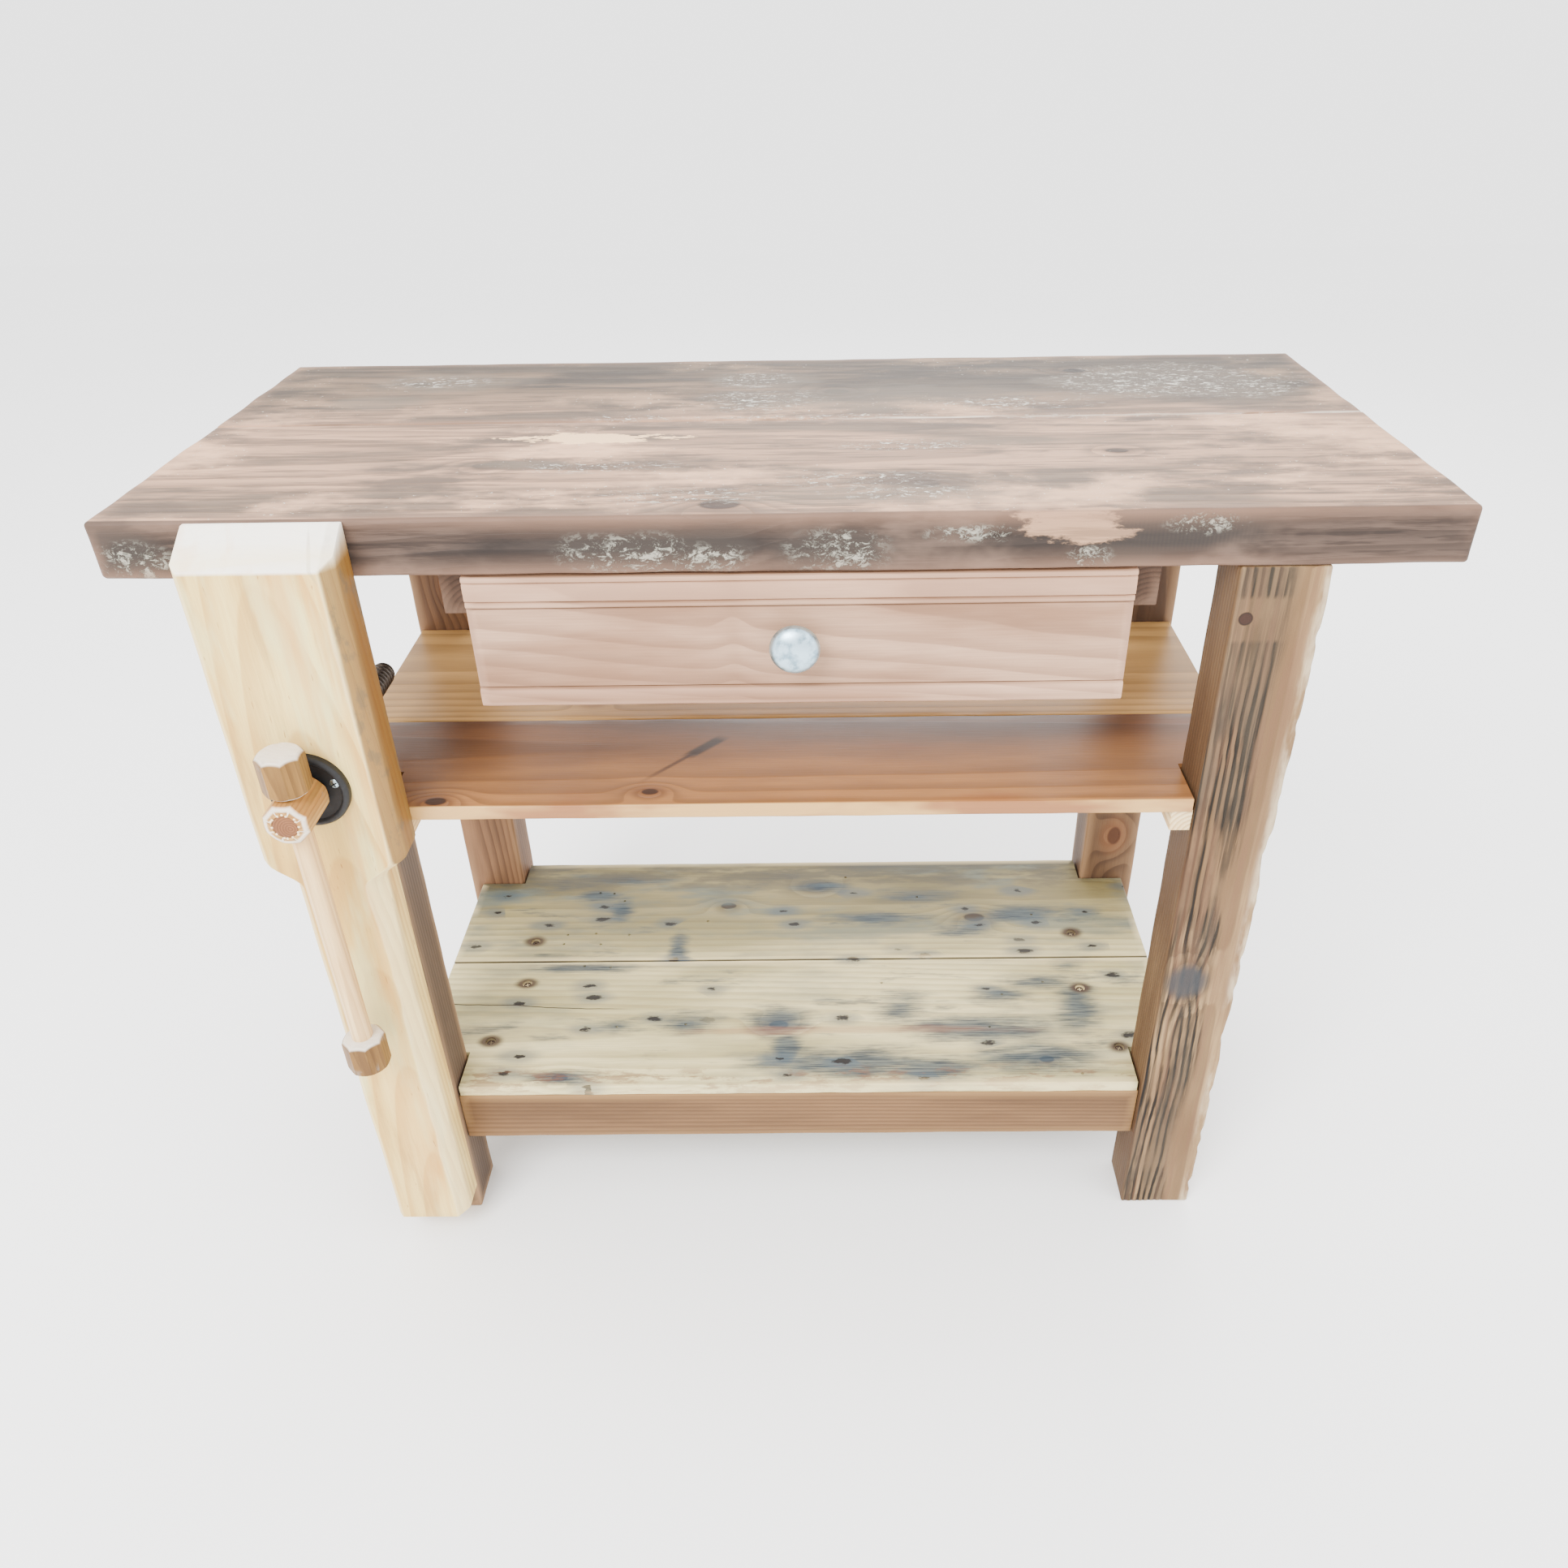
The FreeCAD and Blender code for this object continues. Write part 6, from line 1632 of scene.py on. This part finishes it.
class BENCH_OT_stage(bpy.types.Operator):
    """A pale floor, soft lamps and the camera."""

    bl_idname = "bench.stage"
    bl_label = "Stage"

    def execute(self, context):
        settings = context.scene.bench_stage
        self.floor(settings)
        self.lamps(settings)
        self.camera(settings)
        return {"FINISHED"}

    def floor(self, settings):
        span = 6.0
        points = [(-span, -span, 0), (span, -span, 0), (span, span, 0), (-span, span, 0)]
        floor = loose_object("pale_floor", points, [(0, 1, 2, 3)])
        g = Graph("Pale floor")
        patch = g.stretched(g.object_axes(), (2.0, 2.0, 2.0), detail=3.0)
        lighter = tuple(min(1.0, c * 1.03) for c in settings.floor)
        colour = g.mix(patch, tuple(settings.floor) + (1.0,), lighter + (1.0,))
        floor.data.materials.append(g.finish(colour, 0.9))

    def lamps(self, settings):
        world = bpy.data.worlds.new("Soft room")
        world.use_nodes = True
        sky = world.node_tree.nodes["Background"]
        sky.inputs["Color"].default_value = (1.0, 1.0, 1.0, 1.0)
        sky.inputs["Strength"].default_value = settings.sky
        bpy.context.scene.world = world
        lamps = (("key", (-1.2, -2.4, 3.0), 1.6, 230.0), ("fill", (2.6, -1.6, 2.0), 2.0, 30.0),
                 ("back", (0.5, 2.4, 2.6), 2.0, 70.0))
        for name, place, size, power in lamps:
            lamp = bpy.data.lights.new(name, "AREA")
            lamp.size = size
            lamp.energy = power
            holder = bpy.data.objects.new(name, lamp)
            holder.location = place
            aim = Vector((0, 0, 0.5)) - Vector(place)
            holder.rotation_euler = aim.to_track_quat("-Z", "Y").to_euler()
            bpy.context.scene.collection.objects.link(holder)

    def camera(self, settings):
        """Close and high in front of the bench, looking down at it."""
        camera = bpy.data.cameras.new("view")
        camera.lens = settings.lens
        camera.sensor_width = 36.0
        camera.shift_x = -0.019
        pitch, yaw, roll = 0.5778, -0.0121, -0.0171
        ahead = Vector((math.sin(yaw) * math.cos(pitch), math.cos(yaw) * math.cos(pitch), -math.sin(pitch)))
        right = Vector((math.cos(yaw), -math.sin(yaw), 0))
        upward = right.cross(ahead)
        side = right * math.cos(roll) + upward * math.sin(roll)
        top = upward * math.cos(roll) - right * math.sin(roll)
        holder = bpy.data.objects.new("view", camera)
        corner = Vector((BOX["worktop_front_board"][0].x, FRONT, 0))
        holder.matrix_world = Matrix((side, top, -ahead)).transposed().to_4x4()
        holder.location = corner + Vector((0.5981, -0.9311, 1.1995))
        bpy.context.scene.collection.objects.link(holder)
        bpy.context.scene.camera = holder


# ---------------------------------------------------------------- panel and running
OPERATORS = [BENCH_OT_worktop, BENCH_OT_legs, BENCH_OT_rails, BENCH_OT_lower_shelf,
             BENCH_OT_shelf_battens, BENCH_OT_middle_shelf, BENCH_OT_drawer, BENCH_OT_runners,
             BENCH_OT_chop, BENCH_OT_vise_metal, BENCH_OT_handle, BENCH_OT_fasteners, BENCH_OT_stage]


class BENCH_PT_panel(bpy.types.Panel):
    """Lists the groups of pieces."""

    bl_label = "Potting Bench"
    bl_idname = "BENCH_PT_panel"
    bl_space_type = "VIEW_3D"
    bl_region_type = "UI"
    bl_category = "Bench"

    def draw(self, context):
        for operator in OPERATORS:
            self.layout.operator(operator.bl_idname)


CLASSES = [TimberSettings, ViseSettings, StageSettings, BENCH_PT_panel] + OPERATORS


def register():
    for item in CLASSES:
        bpy.utils.register_class(item)
    bpy.types.Scene.bench_timber = PointerProperty(type=TimberSettings)
    bpy.types.Scene.bench_vise = PointerProperty(type=ViseSettings)
    bpy.types.Scene.bench_stage = PointerProperty(type=StageSettings)


def unregister():
    del bpy.types.Scene.bench_stage
    del bpy.types.Scene.bench_vise
    del bpy.types.Scene.bench_timber
    for item in reversed(CLASSES):
        bpy.utils.unregister_class(item)


def main():
    register()
    for operator in OPERATORS:
        group, name = operator.bl_idname.split(".")
        getattr(getattr(bpy.ops, group), name)()


if __name__ == "__main__":
    main()
